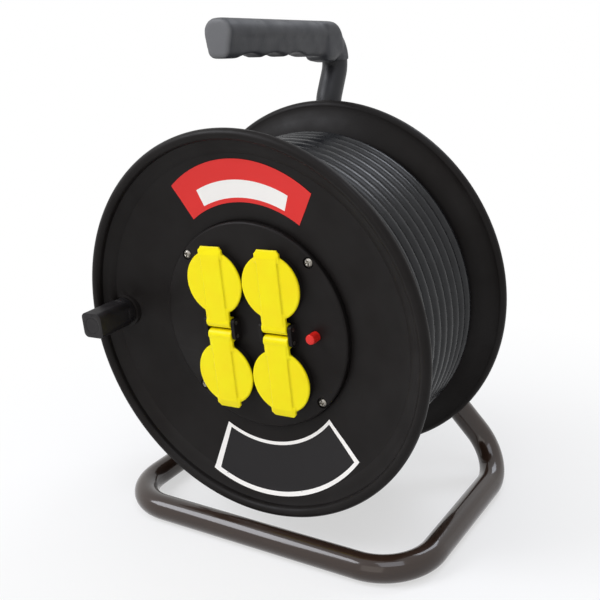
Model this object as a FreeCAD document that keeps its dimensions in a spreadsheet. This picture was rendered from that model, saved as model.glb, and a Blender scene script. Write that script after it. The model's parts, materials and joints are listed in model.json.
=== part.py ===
import FreeCAD, Part
import math
import os
import Sketcher
from types import SimpleNamespace

# Extension cord reel: a dished plastic drum with four covered outlets in its front, turning on
# an axle that a bent steel tube carries, with 25 m of rubber cord wound on it.
# Millimetres. X is to the right as seen from the front, Y goes back along the axle, Z is up.

V = FreeCAD.Vector
Placement = FreeCAD.Placement
Rotation = FreeCAD.Rotation
UPRIGHT = Rotation()

doc = FreeCAD.newDocument("cord_reel")
sheet = doc.addObject("Spreadsheet::Sheet", "sizes")

# Depths are measured back from the middle of the front rim, radii from the axle.
SIZES = {
    # Drum flanges
    "flange_radius": 145.0,
    "rim_bead": 4.0,
    "drum_width": 131.0,
    "flange_wall": 3.0,
    "lip_depth": 1.8,
    "step_inset": 18.0,
    "step_depth": 6.4,
    "step_rise": 0.7,
    "dish_inset": 40.0,
    "dish_depth": 11.5,
    "collar_width": 5.1,
    "collar_depth": 15.3,
    "drum_turn": 2.0,
    # Rear flange hub and ribs
    "hub_radius": 17.0,
    "hub_proud": 0.5,
    "nut_room": 24.5,
    "rib_count": 6,
    "rib_width": 2.4,
    "rib_drop": 2.5,
    # Barrel that the cord is wound on
    "barrel_step": 1.5,
    "barrel_wall": 4.0,
    "boss_radius": 4.3,
    "boss_web": 3.0,
    "cord_slot_gap": 0.8,
    # Socket panel and its seat in the front flange
    "panel_radius": 78.1,
    "panel_gap": 0.3,
    "panel_depth": 10.8,
    "panel_wall": 3.0,
    "panel_edge": 2.0,
    "panel_skirt": 13.2,
    "seat_width": 8.4,
    "seat_wall": 2.0,
    "seat_collar": 2.3,
    "screw_inset": 4.6,
    "screw_angle": 44.5,
    "screw_radius": 2.0,
    "screw_head_radius": 3.3,
    "screw_head_height": 2.4,
    "screw_recess_radius": 4.1,
    "screw_recess": 1.8,
    "panel_screw_length": 34.0,
    "drum_screw_length": 20.0,
    "screw_gap": 0.15,
    # Outlets
    "outlet_up": 35.1,
    "outlet_shift": 0.6,
    "outlet_drop": 1.2,
    "well_radius": 19.6,
    "well_length": 17.5,
    "well_wall": 1.6,
    "well_mouth": 5.7,
    "well_floor": 3.0,
    "guard_wall": 1.6,
    "guard_height": 5.4,
    "insert_flange": 1.3,
    "insert_flange_thick": 3.0,
    "contact_block_radius": 15.0,
    "contact_block_depth": 44.0,
    "pin_spacing": 19.0,
    "pin_hole_radius": 2.8,
    "sleeve_radius": 3.3,
    "sleeve_bore": 2.45,
    "sleeve_gap": 0.1,
    "clip_width": 8.0,
    "clip_thick": 1.0,
    "clip_front": 8.5,
    "clip_gap": 0.2,
    "bar_width": 5.0,
    "bar_thick": 1.0,
    "bar_step": 3.0,
    # Lids and their hinges
    "lid_radius": 24.1,
    "lid_side_gap": 0.4,
    "lid_top": 2.0,
    "lid_thick": 1.9,
    "lid_gap": 0.3,
    "band_width": 17.0,
    "band_rise": 1.1,
    "tab_width": 20.8,
    "tab_reach": 2.9,
    "tab_corner": 2.6,
    "tab_slope": 1.7,
    "hinge_up": 5.0,
    "hinge_depth": 6.1,
    "barrel_of_hinge": 4.4,
    "hinge_pin_radius": 1.5,
    "hinge_pin_gap": 0.08,
    "pin_seat_gap": 0.02,
    "ear_thick": 3.0,
    "ear_gap": 0.3,
    "ear_round": 3.0,
    "spring_notch": 6.0,
    "spring_radius": 2.9,
    # Reset button and the thermal cut-out behind it
    "button_across": 52.6,
    "button_radius": 3.65,
    "button_front": 3.0,
    "button_gap": 0.3,
    "button_travel": 3.0,
    "button_collar": 4.7,
    "button_stem": 1.8,
    "stem_gap": 0.1,
    "cutout_width": 14.0,
    "cutout_height": 17.0,
    "cutout_front": 20.0,
    # Housing behind the panel
    "housing_gap": 1.0,
    "housing_wall": 2.0,
    "housing_depth": 57.5,
    "post_inset": 8.0,
    "post_radius": 4.0,
    "housing_screw_length": 14.0,
    "conductor_way": 3.5,
    "gland_inset": 3.0,
    # Crank knob
    "knob_inset": 25.0,
    "knob_angle": 178.5,
    "knob_side": 19.4,
    "knob_corner": 4.0,
    "knob_front": 30.0,
    "knob_seat": 6.8,
    "knob_gap": 0.5,
    "knob_foot_radius": 10.6,
    "knob_pocket_gap": 0.6,
    "knob_foot": 5.0,
    "knob_boss_radius": 13.0,
    "knob_boss_back": 11.8,
    "knob_pin_radius": 4.0,
    "knob_pin_gap": 0.1,
    "knob_head_radius": 6.0,
    "knob_head": 3.0,
    "knob_recess": 7.0,
    "knob_cap": 2.0,
    # Axle and the plate that carries it
    "axle_height": 169.0,
    "axle_radius": 8.0,
    "axle_gap": 0.08,
    "thread_radius": 6.0,
    "hub_play": 0.4,
    "washer_radius": 15.0,
    "washer_thick": 2.0,
    "nut_across": 19.0,
    "nut_height": 10.0,
    "thread_proud": 4.0,
    "plate_width": 64.0,
    "plate_height": 62.0,
    "plate_thick": 4.0,
    "plate_corner": 10.0,
    # Bent tube frame
    "tube_radius": 10.0,
    "tube_wall": 1.5,
    "base_half_width": 129.5,
    "base_front": 11.5,
    "leg_back": 19.6,
    "base_bend": 40.0,
    "rear_bend": 34.0,
    "upright_across": 8.0,
    "upright_gap": 16.0,
    "upright_foot": 22.0,
    "legs_meet": 16.5,
    "lean_drop": 46.0,
    "lean_bend": 25.0,
    "lean_back": 26.0,
    "elbow_bend": 19.0,
    # Hand grip
    "grip_height": 202.3,
    "grip_tilt": 4.95,
    "grip_width": 23.5,
    "grip_crown": 12.4,
    "grip_root": 14.0,
    "grip_sole": 16.0,
    "grip_corner": 6.0,
    "grip_length": 142.0,
    "bar_stop": 20.0,
    "tube_in_grip": 14.0,
    "groove_pitch": 28.5,
    "groove_deep": 3.2,
    "groove_start": 14.0,
    "grip_end_round": 2.0,
    "grip_bore_gap": 0.2,
    "sleeve_wall": 1.2,
    "elbow_width": 23.0,
    "elbow_nose": 41.5,
    "elbow_chin": 13.8,
    "elbow_heel": 13.0,
    "elbow_crest": 14.4,
    "elbow_round": 15.5,
    "elbow_soft": 5.0,
    # Cord
    "cord_radius": 5.0,
    "turn_gap": 0.45,
    "wound_inset": 20.0,
    "wound_start": 19.1,
    "wound_end": 17.5,
    "cord_seat_gap": 0.3,
    "tail_straight": 42.0,
    "tail_corner": 0.9,
    "tail_corner_drop": 0.933,
    # Gland on the back of the housing, where the cord starts
    "gland_rise": 11.0,
    "gland_back": -4.0,
    "gland_front": 10.0,
    "gland_wall": 3.0,
    "lead_turn": 130.0,
    "lead_offset": 60.0,
    "lead_bend": 50.0,
    # Plug on the end of the cord
    "plug_radius": 18.0,
    "plug_length": 36.0,
    "plug_boot": 25.0,
    "plug_boot_radius": 7.0,
    "plug_pin_radius": 2.4,
    "plug_pin_length": 19.0,
    "plug_angle": 186.0,
    "plug_depth": 84.0,
    "plug_gap": 0.3,
}


class Size(float):
    """A number that remembers the spreadsheet formula it comes from."""

    def __new__(cls, value, formula=None):
        number = float.__new__(cls, value)
        number.formula = formula
        return number

    def __add__(self, other):
        return Size(float(self) + float(other), "(%s + %s)" % (text(self), text(other)))

    def __radd__(self, other):
        return Size(float(other) + float(self), "(%s + %s)" % (text(other), text(self)))

    def __sub__(self, other):
        return Size(float(self) - float(other), "(%s - %s)" % (text(self), text(other)))

    def __rsub__(self, other):
        return Size(float(other) - float(self), "(%s - %s)" % (text(other), text(self)))

    def __mul__(self, other):
        return Size(float(self) * float(other), "(%s * %s)" % (text(self), text(other)))

    def __rmul__(self, other):
        return Size(float(other) * float(self), "(%s * %s)" % (text(other), text(self)))

    def __truediv__(self, other):
        return Size(float(self) / float(other), "(%s / %s)" % (text(self), text(other)))

    def __neg__(self):
        return Size(-float(self), "(-1 * %s)" % text(self))


def text(value):
    """Return the formula of a size, or a plain number as text."""
    return getattr(value, "formula", None) or repr(float(value))


s = SimpleNamespace()
for row, (alias, value) in enumerate(SIZES.items(), start=1):
    cell = "B%d" % row
    sheet.set("A%d" % row, alias)
    sheet.set(cell, str(value))
    sheet.setAlias(cell, alias)
    setattr(s, alias, Size(value, "sizes." + alias))
doc.recompute()

nodes = {}

# How far a cutting tool runs past the face that it cuts
OVER = 1.0


# Building blocks

def bind(item, prop, value):
    """Set a property and tie it to the sheet where its value comes from there."""
    if getattr(value, "formula", None):
        item.setExpression(prop, value.formula)
    else:
        setattr(item, prop, value)


def place(item, x=0.0, y=0.0, z=0.0, rotation=UPRIGHT):
    """Put an object at a point, each coordinate tied to its sizes."""
    item.Placement = Placement(V(x, y, z), rotation)
    for axis, value in zip("xyz", (x, y, z)):
        if getattr(value, "formula", None):
            item.setExpression("Placement.Base." + axis, value.formula)
    return item


def arc_middle(start, end, radius):
    """Return the middle of the short arc between two points; a negative radius turns clockwise."""
    chord = math.hypot(end[0] - start[0], end[1] - start[1])
    normal = (-(end[1] - start[1]) / chord, (end[0] - start[0]) / chord)
    rise = math.sqrt(max(radius * radius - chord * chord / 4, 0.0)) - abs(radius)
    side = 1 if radius > 0 else -1
    centre = ((start[0] + end[0]) / 2, (start[1] + end[1]) / 2)
    return centre[0] + side * rise * normal[0], centre[1] + side * rise * normal[1]


def draw(body, role, corners, start=0.0):
    """Sketch a closed outline on a plane: a corner is (x, y), or (x, y, radius) for an arc to the next."""
    sketch = body.newObject("Sketcher::SketchObject", body.Name + "_outline")
    plane = [item for item in body.Origin.OriginFeatures if item.Role == role][0]
    sketch.AttachmentSupport = [(plane, "")]
    sketch.MapMode = "FlatFace"
    offset = -start if role == "XZ_Plane" else start
    sketch.AttachmentOffset = Placement(V(0, 0, offset), UPRIGHT)
    if getattr(offset, "formula", None):
        sketch.setExpression("AttachmentOffset.Base.z", offset.formula)
    radii = []
    for index, corner in enumerate(corners):
        following = corners[(index + 1) % len(corners)]
        here = V(corner[0], corner[1], 0)
        there = V(following[0], following[1], 0)
        if len(corner) == 3:
            middle = arc_middle(corner[:2], following[:2], corner[2])
            arc = Part.Arc(here, V(middle[0], middle[1], 0), there)
            sketch.addGeometry(arc, False)
            radii.append((index, corner[2]))
        else:
            sketch.addGeometry(Part.LineSegment(here, there), False)
    ends = []
    for index, corner in enumerate(corners):
        clockwise = len(corner) == 3 and corner[2] < 0
        ends.append((2, 1) if clockwise else (1, 2))
    for index in range(len(corners)):
        following = (index + 1) % len(corners)
        sketch.addConstraint(Sketcher.Constraint(
            "Coincident", index, ends[index][1], following, ends[following][0]))
    for index, corner in enumerate(corners):
        for kind, value in (("DistanceX", corner[0]), ("DistanceY", corner[1])):
            tied = sketch.addConstraint(Sketcher.Constraint(
                kind, -1, 1, index, ends[index][0], float(value)))
            if getattr(value, "formula", None):
                sketch.setExpression("Constraints[%d]" % tied, value.formula)
    for index, radius in radii:
        tied = sketch.addConstraint(Sketcher.Constraint("Radius", index, abs(float(radius))))
        if getattr(radius, "formula", None):
            sign = "" if radius > 0 else "-1 * "
            sketch.setExpression("Constraints[%d]" % tied, sign + radius.formula)
    return sketch


def revolve(name, corners):
    """Turn an outline of (radius, depth) corners about the Y axis."""
    body = doc.addObject("PartDesign::Body", name)
    sketch = draw(body, "XY_Plane", corners)
    turned = body.newObject("PartDesign::Revolution", name + "_turned")
    turned.Profile = sketch
    turned.ReferenceAxis = (sketch, ["V_Axis"])
    turned.Angle = 360
    sketch.Visibility = False
    return body


def extrude(name, role, corners, start, length):
    """Pad an outline: XZ_Plane goes back from a depth, YZ_Plane goes right, XY_Plane goes up."""
    body = doc.addObject("PartDesign::Body", name)
    sketch = draw(body, role, corners, start)
    pad = body.newObject("PartDesign::Pad", name + "_pad")
    pad.Profile = sketch
    pad.Reversed = role == "XZ_Plane"
    bind(pad, "Length", length)
    return body


def rectangle(x0, y0, x1, y1):
    """Return the corners of a rectangle."""
    return [(x0, y0), (x1, y0), (x1, y1), (x0, y1)]


def rounded(x0, y0, x1, y1, radius):
    """Return the corners of a rectangle with round corners."""
    return [
        (x0 + radius, y0), (x1 - radius, y0, radius), (x1, y0 + radius), (x1, y1 - radius, radius),
        (x1 - radius, y1), (x0 + radius, y1, radius), (x0, y1 - radius), (x0, y0 + radius, radius),
    ]


BACKWARD = Rotation(V(1, 0, 0), -90)
RIGHTWARD = Rotation(V(0, 1, 0), 90)


def rod(name, radius, length, x=0.0, y=0.0, z=0.0, rotation=BACKWARD):
    """Make a cylinder that starts at a point and goes back, or right with RIGHTWARD."""
    cylinder = doc.addObject("Part::Cylinder", name)
    bind(cylinder, "Radius", radius)
    bind(cylinder, "Height", length)
    return place(cylinder, x, y, z, rotation)


def tube(name, outer, inner, y0, y1, x=0.0, z=0.0):
    """Make a sleeve about an axis that is parallel to the axle."""
    return place(revolve(name, rectangle(inner, y0, outer, y1)), x, 0.0, z)


def fuse(name, items):
    """Join several objects into one."""
    joined = doc.addObject("Part::MultiFuse", name)
    joined.Shapes = items
    joined.Refine = True
    return joined


def cut(name, base, tools):
    """Cut one or more tools out of a base."""
    result = doc.addObject("Part::Cut", name)
    result.Base = base
    result.Tool = tools[0] if len(tools) == 1 else fuse(name + "_tools", tools)
    result.Refine = True
    return result


def group(name, items):
    """Keep separate identical solids together as one sub-part."""
    compound = doc.addObject("Part::Compound", name)
    compound.Links = items
    return compound


def feature(name, shape):
    """Hold a shape that was made directly."""
    item = doc.addObject("Part::Feature", name)
    item.Shape = shape
    return item


def carry(item, placement):
    """Move and turn an object together with the piece that it belongs to."""
    for bound, formula in item.ExpressionEngine:
        if "Placement" in bound:
            item.setExpression(bound.lstrip("."), None)
    item.Placement = placement * item.Placement
    return item


def node(name, item, placement=Placement()):
    """Name a finished sub-part and put it where it belongs in the reel."""
    item.Label = name
    nodes[name] = carry(item, placement)


def bent_path(points, bends):
    """Return a wire of straight runs with an arc of the given radius at each inner point."""
    edges = []
    last = points[0]
    for before, corner, after, bend in zip(points, points[1:], points[2:], bends):
        inward = (before - corner).normalize()
        outward = (after - corner).normalize()
        half = math.acos(max(-1.0, min(1.0, inward.dot(outward)))) / 2
        reach = bend / math.tan(half)
        start = corner + inward * reach
        end = corner + outward * reach
        centre = corner + (inward + outward).normalize() * (bend / math.sin(half))
        middle = centre + (corner - centre).normalize() * bend
        edges.append(Part.LineSegment(last, start).toShape())
        edges.append(Part.Arc(start, middle, end).toShape())
        last = end
    edges.append(Part.LineSegment(last, points[-1]).toShape())
    return Part.Wire(edges)


def round_section(radius, centre, direction):
    """Return a circle wire square to a direction."""
    return Part.Wire(Part.makeCircle(radius, centre, direction))


def faceted_section(reach, sides, centre, direction, side_way):
    """Return a polygon wire, square to a direction, with its corners at a distance from its centre."""
    across = direction.cross(side_way).normalize()
    corners = []
    for index in range(sides + 1):
        turn = 2 * math.pi * (index + 0.5) / sides
        corners.append(centre + side_way * (reach * math.cos(turn)) + across * (reach * math.sin(turn)))
    return Part.makePolygon(corners)


def swept(path, section):
    """Sweep a closed section along a path as a solid."""
    pipe = Part.BRepOffsetAPI.MakePipeShell(path)
    pipe.add(section)
    pipe.build()
    pipe.makeSolid()
    return pipe.shape()


# Drum flanges, barrel and their screws

bead_ring = s.flange_radius - s.rim_bead
step_radius = s.flange_radius - s.step_inset
dish_radius = s.flange_radius - s.dish_inset
opening = s.panel_radius + s.panel_gap
seat_inner = opening - s.seat_width
collar_radius = opening + s.collar_width
barrel_radius = collar_radius + s.barrel_step
seat_depth = s.panel_depth + s.panel_skirt
barrel_front = s.collar_depth + s.flange_wall
barrel_back = s.drum_width - s.collar_depth - s.flange_wall
barrel_bore = barrel_radius - s.barrel_wall
screw_ring = s.panel_radius - s.screw_inset
screw_across = screw_ring * math.cos(math.radians(s.screw_angle))
screw_up = screw_ring * math.sin(math.radians(s.screw_angle))
screw_places = [(side * screw_across, up * screw_up) for side in (-1, 1) for up in (-1, 1)]
knob_orbit = s.flange_radius - s.knob_inset
knob_x = knob_orbit * math.cos(math.radians(s.knob_angle))
knob_z = knob_orbit * math.sin(math.radians(s.knob_angle))
hub_rear = s.drum_width + s.hub_proud
hub_front = s.housing_depth + s.nut_room
drum_place = Placement(V(0, 0, s.axle_height), Rotation(V(0, 1, 0), -float(s.drum_turn)))
frame_place = Placement(V(0, 0, s.axle_height), UPRIGHT)


# The cord's way inside the barrel: out of its gland, round a bend and into the lowest layer

lead_depth = s.housing_depth + s.gland_rise
lead_radius = barrel_radius + s.cord_radius
lead_centre_up = math.sqrt((lead_radius - s.lead_bend) ** 2 - (s.lead_offset - s.lead_bend) ** 2)


def lead_corner(out, along):
    """Return x and z of a point inside the barrel, out from the axle and along the cord."""
    angle = math.radians(s.lead_turn)
    return out * math.cos(angle) + along * math.sin(angle), out * math.sin(angle) - along * math.cos(angle)


def lead_point(out, along):
    """Return that point at the depth of the cord."""
    x, z = lead_corner(out, along)
    return V(x, lead_depth, z)


def lead_tube(radius):
    """Make the cord, or the way it needs, from the gland to where it lies on the barrel."""
    start = lead_point(s.lead_offset, s.gland_back)
    bend_start = lead_point(s.lead_offset, lead_centre_up)
    centre = lead_point(s.lead_offset - s.lead_bend, lead_centre_up)
    end = centre.sub(V(0, lead_depth, 0)).normalize() * lead_radius + V(0, lead_depth, 0)
    middle = centre + (bend_start - centre + end - centre).normalize() * s.lead_bend
    run = Part.LineSegment(start, bend_start).toShape()
    bend = Part.Arc(bend_start, middle, end).toShape()
    path = Part.Wire([run, bend])
    return swept(path, round_section(radius, start, bend_start - start))


def dish(mirror):
    """Return the outer face of a flange, from its rim to its collar, and its inner face back to the rim."""
    def at(radius, depth):
        return (radius, s.drum_width - depth) if mirror else (radius, depth)

    outer = [
        at(bead_ring - s.rim_bead, s.lip_depth),
        at(step_radius + s.step_rise, s.step_depth - s.step_rise),
        at(step_radius, s.step_depth),
        at(dish_radius, s.dish_depth),
        at(collar_radius, s.collar_depth),
    ]
    inner = [
        at(collar_radius, s.collar_depth + s.flange_wall),
        at(dish_radius, s.dish_depth + s.flange_wall),
        at(step_radius, s.step_depth + s.flange_wall),
        at(bead_ring - s.rim_bead, s.lip_depth + s.flange_wall),
    ]
    turn_way = 1 if mirror else -1
    rim = [
        at(bead_ring, s.rim_bead) + (turn_way * s.rim_bead,),
        at(s.flange_radius, 0.0) + (turn_way * s.rim_bead,),
        at(bead_ring, -s.rim_bead) + (turn_way * s.rim_bead,),
        at(bead_ring - s.rim_bead, 0.0),
    ]
    return rim, outer, inner


def front_flange():
    """Dished front flange with a rolled rim, the panel's seat and the pocket and boss of the crank knob."""
    rim, outer, inner = dish(False)
    seat_back = seat_depth + s.seat_wall
    collar_outer = opening + s.seat_collar
    well = [
        (opening, s.collar_depth), (opening, seat_depth), (seat_inner, seat_depth),
        (seat_inner, seat_back), (collar_outer, seat_back), (collar_outer, barrel_front),
    ]
    dished = revolve("front_dish", rim + outer + well + inner)
    boss = rod("knob_boss", s.knob_boss_radius, s.knob_boss_back - s.knob_seat, knob_x, s.knob_seat, knob_z)
    whole = fuse("front_flange_whole", [dished, boss])
    holes = [rod("panel_screw_way_%d" % index, s.screw_radius + s.screw_gap, s.seat_wall + 2 * OVER,
                 x, seat_depth - OVER, z) for index, (x, z) in enumerate(screw_places)]
    holes.append(rod("knob_pin_seat", s.knob_pin_radius + s.pin_seat_gap, s.knob_boss_back,
                     knob_x, s.knob_seat - OVER, knob_z))
    holes.append(rod("knob_pocket", s.knob_foot_radius + s.knob_pocket_gap, s.knob_seat, knob_x, 0.0, knob_z))
    return cut("front_flange", whole, holes)


def rear_flange():
    """Dished rear flange with the hub sleeve and radial ribs on its outer face."""
    rim, outer, inner = dish(True)
    web_back = s.drum_width - s.collar_depth
    bore = s.axle_radius + s.axle_gap
    hub = [
        (s.hub_radius, web_back), (s.hub_radius, hub_rear), (bore, hub_rear),
        (bore, hub_front), (s.hub_radius, hub_front), (s.hub_radius, web_back - s.flange_wall),
    ]
    body = revolve("rear_dish", rim + outer + hub + inner)
    sunk = s.flange_wall / 2
    rib = draw(body, "XY_Plane", [
        (s.hub_radius - sunk, web_back - sunk),
        (collar_radius, web_back - sunk),
        (dish_radius, s.drum_width - s.dish_depth - sunk),
        (step_radius - sunk, s.drum_width - s.step_depth - sunk),
        (step_radius - sunk, s.drum_width - s.step_depth - s.step_rise),
        (s.hub_radius - sunk, hub_rear - s.rib_drop),
    ], -s.rib_width / 2)
    pad = body.newObject("PartDesign::Pad", "rib")
    pad.Profile = rib
    bind(pad, "Length", s.rib_width)
    ribs = body.newObject("PartDesign::PolarPattern", "ribs")
    ribs.Originals = [pad]
    ribs.Axis = ([item for item in body.Origin.OriginFeatures if item.Role == "Y_Axis"][0], [""])
    ribs.Angle = 360
    bind(ribs, "Occurrences", s.rib_count)
    body.Tip = ribs
    holes = [rod("drum_screw_way_%d" % index, s.screw_radius + s.screw_gap, s.flange_wall + 2 * OVER,
                 x, barrel_back - OVER, z) for index, (x, z) in enumerate(screw_places)]
    return cut("rear_flange", body, holes)


def drum_core():
    """Barrel between the flanges, with a screw boss at each corner and the slot that the cord passes."""
    barrel = tube("barrel", barrel_radius, barrel_bore, barrel_front, barrel_back)
    boss_front = seat_depth + s.seat_wall
    parts = [barrel]
    holes = []
    for index, (x, z) in enumerate(screw_places):
        parts.append(rod("boss_%d" % index, s.boss_radius, barrel_back - boss_front, x, boss_front, z))
        angle = math.atan2(z, x)
        reach = math.hypot(x, z)
        length = barrel_radius - s.barrel_wall / 2 - reach
        web = doc.addObject("Part::Box", "boss_web_%d" % index)
        bind(web, "Length", length)
        bind(web, "Width", barrel_back - boss_front)
        bind(web, "Height", s.boss_web)
        along = V(math.cos(angle), 0, math.sin(angle))
        across = V(-math.sin(angle), 0, math.cos(angle))
        corner = along * reach - across * (s.boss_web / 2) + V(0, boss_front, 0)
        web.Placement = Placement(corner, Rotation(V(0, 1, 0), -math.degrees(angle)))
        parts.append(web)
        hole = s.screw_radius + s.screw_gap
        front_hole = s.panel_screw_length - (boss_front - s.panel_depth - s.screw_recess) + s.screw_radius
        holes.append(rod("front_hole_%d" % index, hole, front_hole, x, boss_front, z))
        holes.append(rod("rear_hole_%d" % index, hole, s.drum_screw_length,
                         x, barrel_back - s.drum_screw_length, z))
    slot = feature("cord_slot", lead_tube(s.cord_radius + s.cord_slot_gap))
    whole = fuse("drum_core_whole", parts)
    return cut("drum_core", whole, holes + [slot])


# Shares of a screw's head: its flat crown across, and the straight rim in its height
HEAD_CROWN = 0.6
HEAD_RIM = 0.4


def screw(name, x, z, head_face, length, way):
    """Pan-head screw along the axle, its head's seat at a depth; way is 1 for driven from the front."""
    crown = head_face - way * s.screw_head_height
    corners = [
        (0.0, crown),
        (s.screw_head_radius * HEAD_CROWN, crown),
        (s.screw_head_radius, head_face - way * s.screw_head_height * HEAD_RIM),
        (s.screw_head_radius, head_face),
        (s.screw_radius, head_face),
        (s.screw_radius, head_face + way * (length - s.screw_radius)),
        (0.0, head_face + way * length),
    ]
    return place(revolve(name, corners), x, 0.0, z)


# Outlets behind the panel

panel_back = s.panel_depth + s.panel_wall
well_outer = s.well_radius + s.well_wall
floor_front = s.well_mouth + s.well_length
floor_back = floor_front + s.well_floor
guard_inner = well_outer + s.panel_gap
outlet_across = s.lid_radius + s.lid_side_gap
outlets = [(side * outlet_across, up * s.outlet_up) for up in (1, -1) for side in (-1, 1)]
outlets_x = -s.outlet_shift
outlets_z = -s.outlet_drop
outlet_place = drum_place * Placement(V(outlets_x, 0, outlets_z), UPRIGHT)
housing_radius = seat_inner - s.housing_gap
post_up = housing_radius - s.post_inset
housing_floor = s.housing_depth - s.housing_wall
live_bar = s.contact_block_depth + s.bar_thick
neutral_bar = live_bar + s.bar_step
earth_bar = neutral_bar + s.bar_step
clip_place = s.well_radius + s.clip_gap


def block(name, x0, y0, z0, x1, y1, z1):
    """Make a box between two corners."""
    box = doc.addObject("Part::Box", name)
    bind(box, "Length", x1 - x0)
    bind(box, "Width", y1 - y0)
    bind(box, "Height", z1 - z0)
    return place(box, x0, y0, z0)


def hinge_ears():
    """Two ears at each pair of lids, each with a hole for the upper and the lower pin."""
    rise = s.hinge_up + s.ear_round
    top = s.hinge_depth - s.ear_round
    foot = s.panel_depth + s.panel_wall / 2
    side_view = [
        (foot, -rise), (s.hinge_depth, -rise, -s.ear_round), (top, -s.hinge_up),
        (top, s.hinge_up, -s.ear_round), (s.hinge_depth, rise), (foot, rise),
    ]
    reach = s.tab_width / 2 + s.ear_gap
    ears = []
    for side in (-1, 1):
        for start in (-reach - s.ear_thick, reach):
            x = side * outlet_across + start
            ear = extrude("ear", "YZ_Plane", side_view, x, s.ear_thick)
            ears.append(place(ear, outlets_x, 0.0, outlets_z))
    return ears


def socket_panel():
    """Round panel with a guard ring round each outlet, hinge ears, screw recesses and rear posts."""
    outline = [
        (0.0, s.panel_depth), (s.panel_radius - s.panel_edge, s.panel_depth, s.panel_edge),
        (s.panel_radius, s.panel_depth + s.panel_edge), (s.panel_radius, seat_depth),
        (s.panel_radius - s.panel_wall, seat_depth), (s.panel_radius - s.panel_wall, panel_back),
        (0.0, panel_back),
    ]
    parts = [revolve("panel_disc", outline)] + hinge_ears()
    middle = s.panel_depth + s.panel_wall / 2
    guard_front = s.panel_depth - s.guard_height
    holes = []
    for across, up in outlets:
        x = across + outlets_x
        z = up + outlets_z
        parts.append(tube("guard", guard_inner + s.guard_wall, guard_inner, guard_front, middle, x, z))
        holes.append(rod("well_way", guard_inner, s.panel_wall + 2 * OVER, x, s.panel_depth - OVER, z))
    for x, z in screw_places:
        parts.append(rod("panel_boss", s.boss_radius, seat_depth - middle, x, middle, z))
        holes.append(rod("screw_way", s.screw_radius + s.screw_gap, s.panel_skirt + 2 * OVER,
                         x, s.panel_depth - OVER, z))
        holes.append(rod("screw_recess", s.screw_recess_radius, s.screw_recess + OVER,
                         x, s.panel_depth - OVER, z))
    for up in (-1, 1):
        z = up * post_up
        parts.append(rod("post", s.post_radius, housing_floor - middle, 0.0, middle, z))
        depth = s.housing_screw_length
        holes.append(rod("post_hole", s.screw_radius + s.screw_gap, depth,
                         0.0, housing_floor - depth + OVER, z))
        holes.append(rod("pin_way", s.hinge_pin_radius + s.pin_seat_gap, 4 * outlet_across, -2 * outlet_across,
                         s.hinge_depth, up * s.hinge_up + outlets_z, RIGHTWARD))
    holes.append(rod("button_way", s.button_radius + s.button_gap, s.panel_wall + 2 * OVER,
                     s.button_across, s.panel_depth - OVER, outlets_z))
    return cut("socket_panel", fuse("socket_panel_whole", parts), holes)


def socket_insert(name, x, z):
    """Outlet insert: the round well, its flange behind the panel and the block that holds the contacts."""
    outline = [
        (s.well_radius, s.well_mouth), (well_outer, s.well_mouth), (well_outer, panel_back),
        (well_outer + s.insert_flange, panel_back),
        (well_outer + s.insert_flange, panel_back + s.insert_flange_thick),
        (well_outer, panel_back + s.insert_flange_thick), (well_outer, floor_back),
        (s.contact_block_radius, floor_back), (s.contact_block_radius, s.contact_block_depth),
        (0.0, s.contact_block_depth), (0.0, floor_front), (s.well_radius, floor_front),
    ]
    holes = []
    chamber = floor_front + s.well_floor / 2
    for side in (-1, 1):
        across = side * s.pin_spacing / 2
        holes.append(rod("pin_hole", s.pin_hole_radius, s.well_floor, across, floor_front - OVER, 0.0))
        holes.append(rod("chamber", s.sleeve_radius + s.sleeve_gap, s.contact_block_depth - chamber + OVER,
                         across, chamber, 0.0))
        half = s.clip_width / 2 + s.clip_gap
        near = s.well_radius - OVER
        far = clip_place + s.clip_thick + s.clip_gap
        low = near if side > 0 else -far
        high = far if side > 0 else -near
        holes.append(block("clip_slot", -half, s.clip_front - s.clip_gap, low, half, floor_back + OVER, high))
    insert = cut(name, revolve(name + "_body", outline), holes)
    insert.Placement = Placement(V(x, 0, z), UPRIGHT)
    return insert


def contact_sleeves():
    """Brass pin sleeves, each with a tail to its busbar."""
    front = floor_front + s.well_floor / 2
    closed = s.sleeve_radius - s.sleeve_bore
    back = s.contact_block_depth - closed
    tail = s.sleeve_bore / 2
    sleeves = []
    for x, z in outlets:
        for side, bar in ((-1, neutral_bar), (1, live_bar)):
            outline = [
                (s.sleeve_bore, front), (s.sleeve_radius, front), (s.sleeve_radius, back), (tail, back),
                (tail, bar), (0.0, bar), (0.0, back - closed), (s.sleeve_bore, back - closed),
            ]
            sleeves.append(place(revolve("sleeve", outline), x + side * s.pin_spacing / 2, 0.0, z))
    return group("contact_sleeves", sleeves)


def busbar(name, depth, columns, half_width, reach):
    """Flat brass bar: one strip behind each column of contacts, joined by a cross strip."""
    back = depth + s.bar_thick
    strips = [block(name + "_strip", x - half_width, depth, -reach, x + half_width, back, reach)
              for x in columns]
    cross = block(name + "_cross", columns[0], depth, -half_width, columns[1], back, half_width)
    return fuse(name, strips + [cross])


def earth_clips():
    """Sprung earth contacts at the top and bottom of each well."""
    clips = []
    half = s.clip_width / 2
    for x, z in outlets:
        for side in (-1, 1):
            near = z + side * clip_place
            far = near + side * s.clip_thick
            low, high = (near, far) if side > 0 else (far, near)
            clips.append(block("clip", x - half, s.clip_front, low, x + half, earth_bar, high))
    return group("earth_clips", clips)


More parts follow.
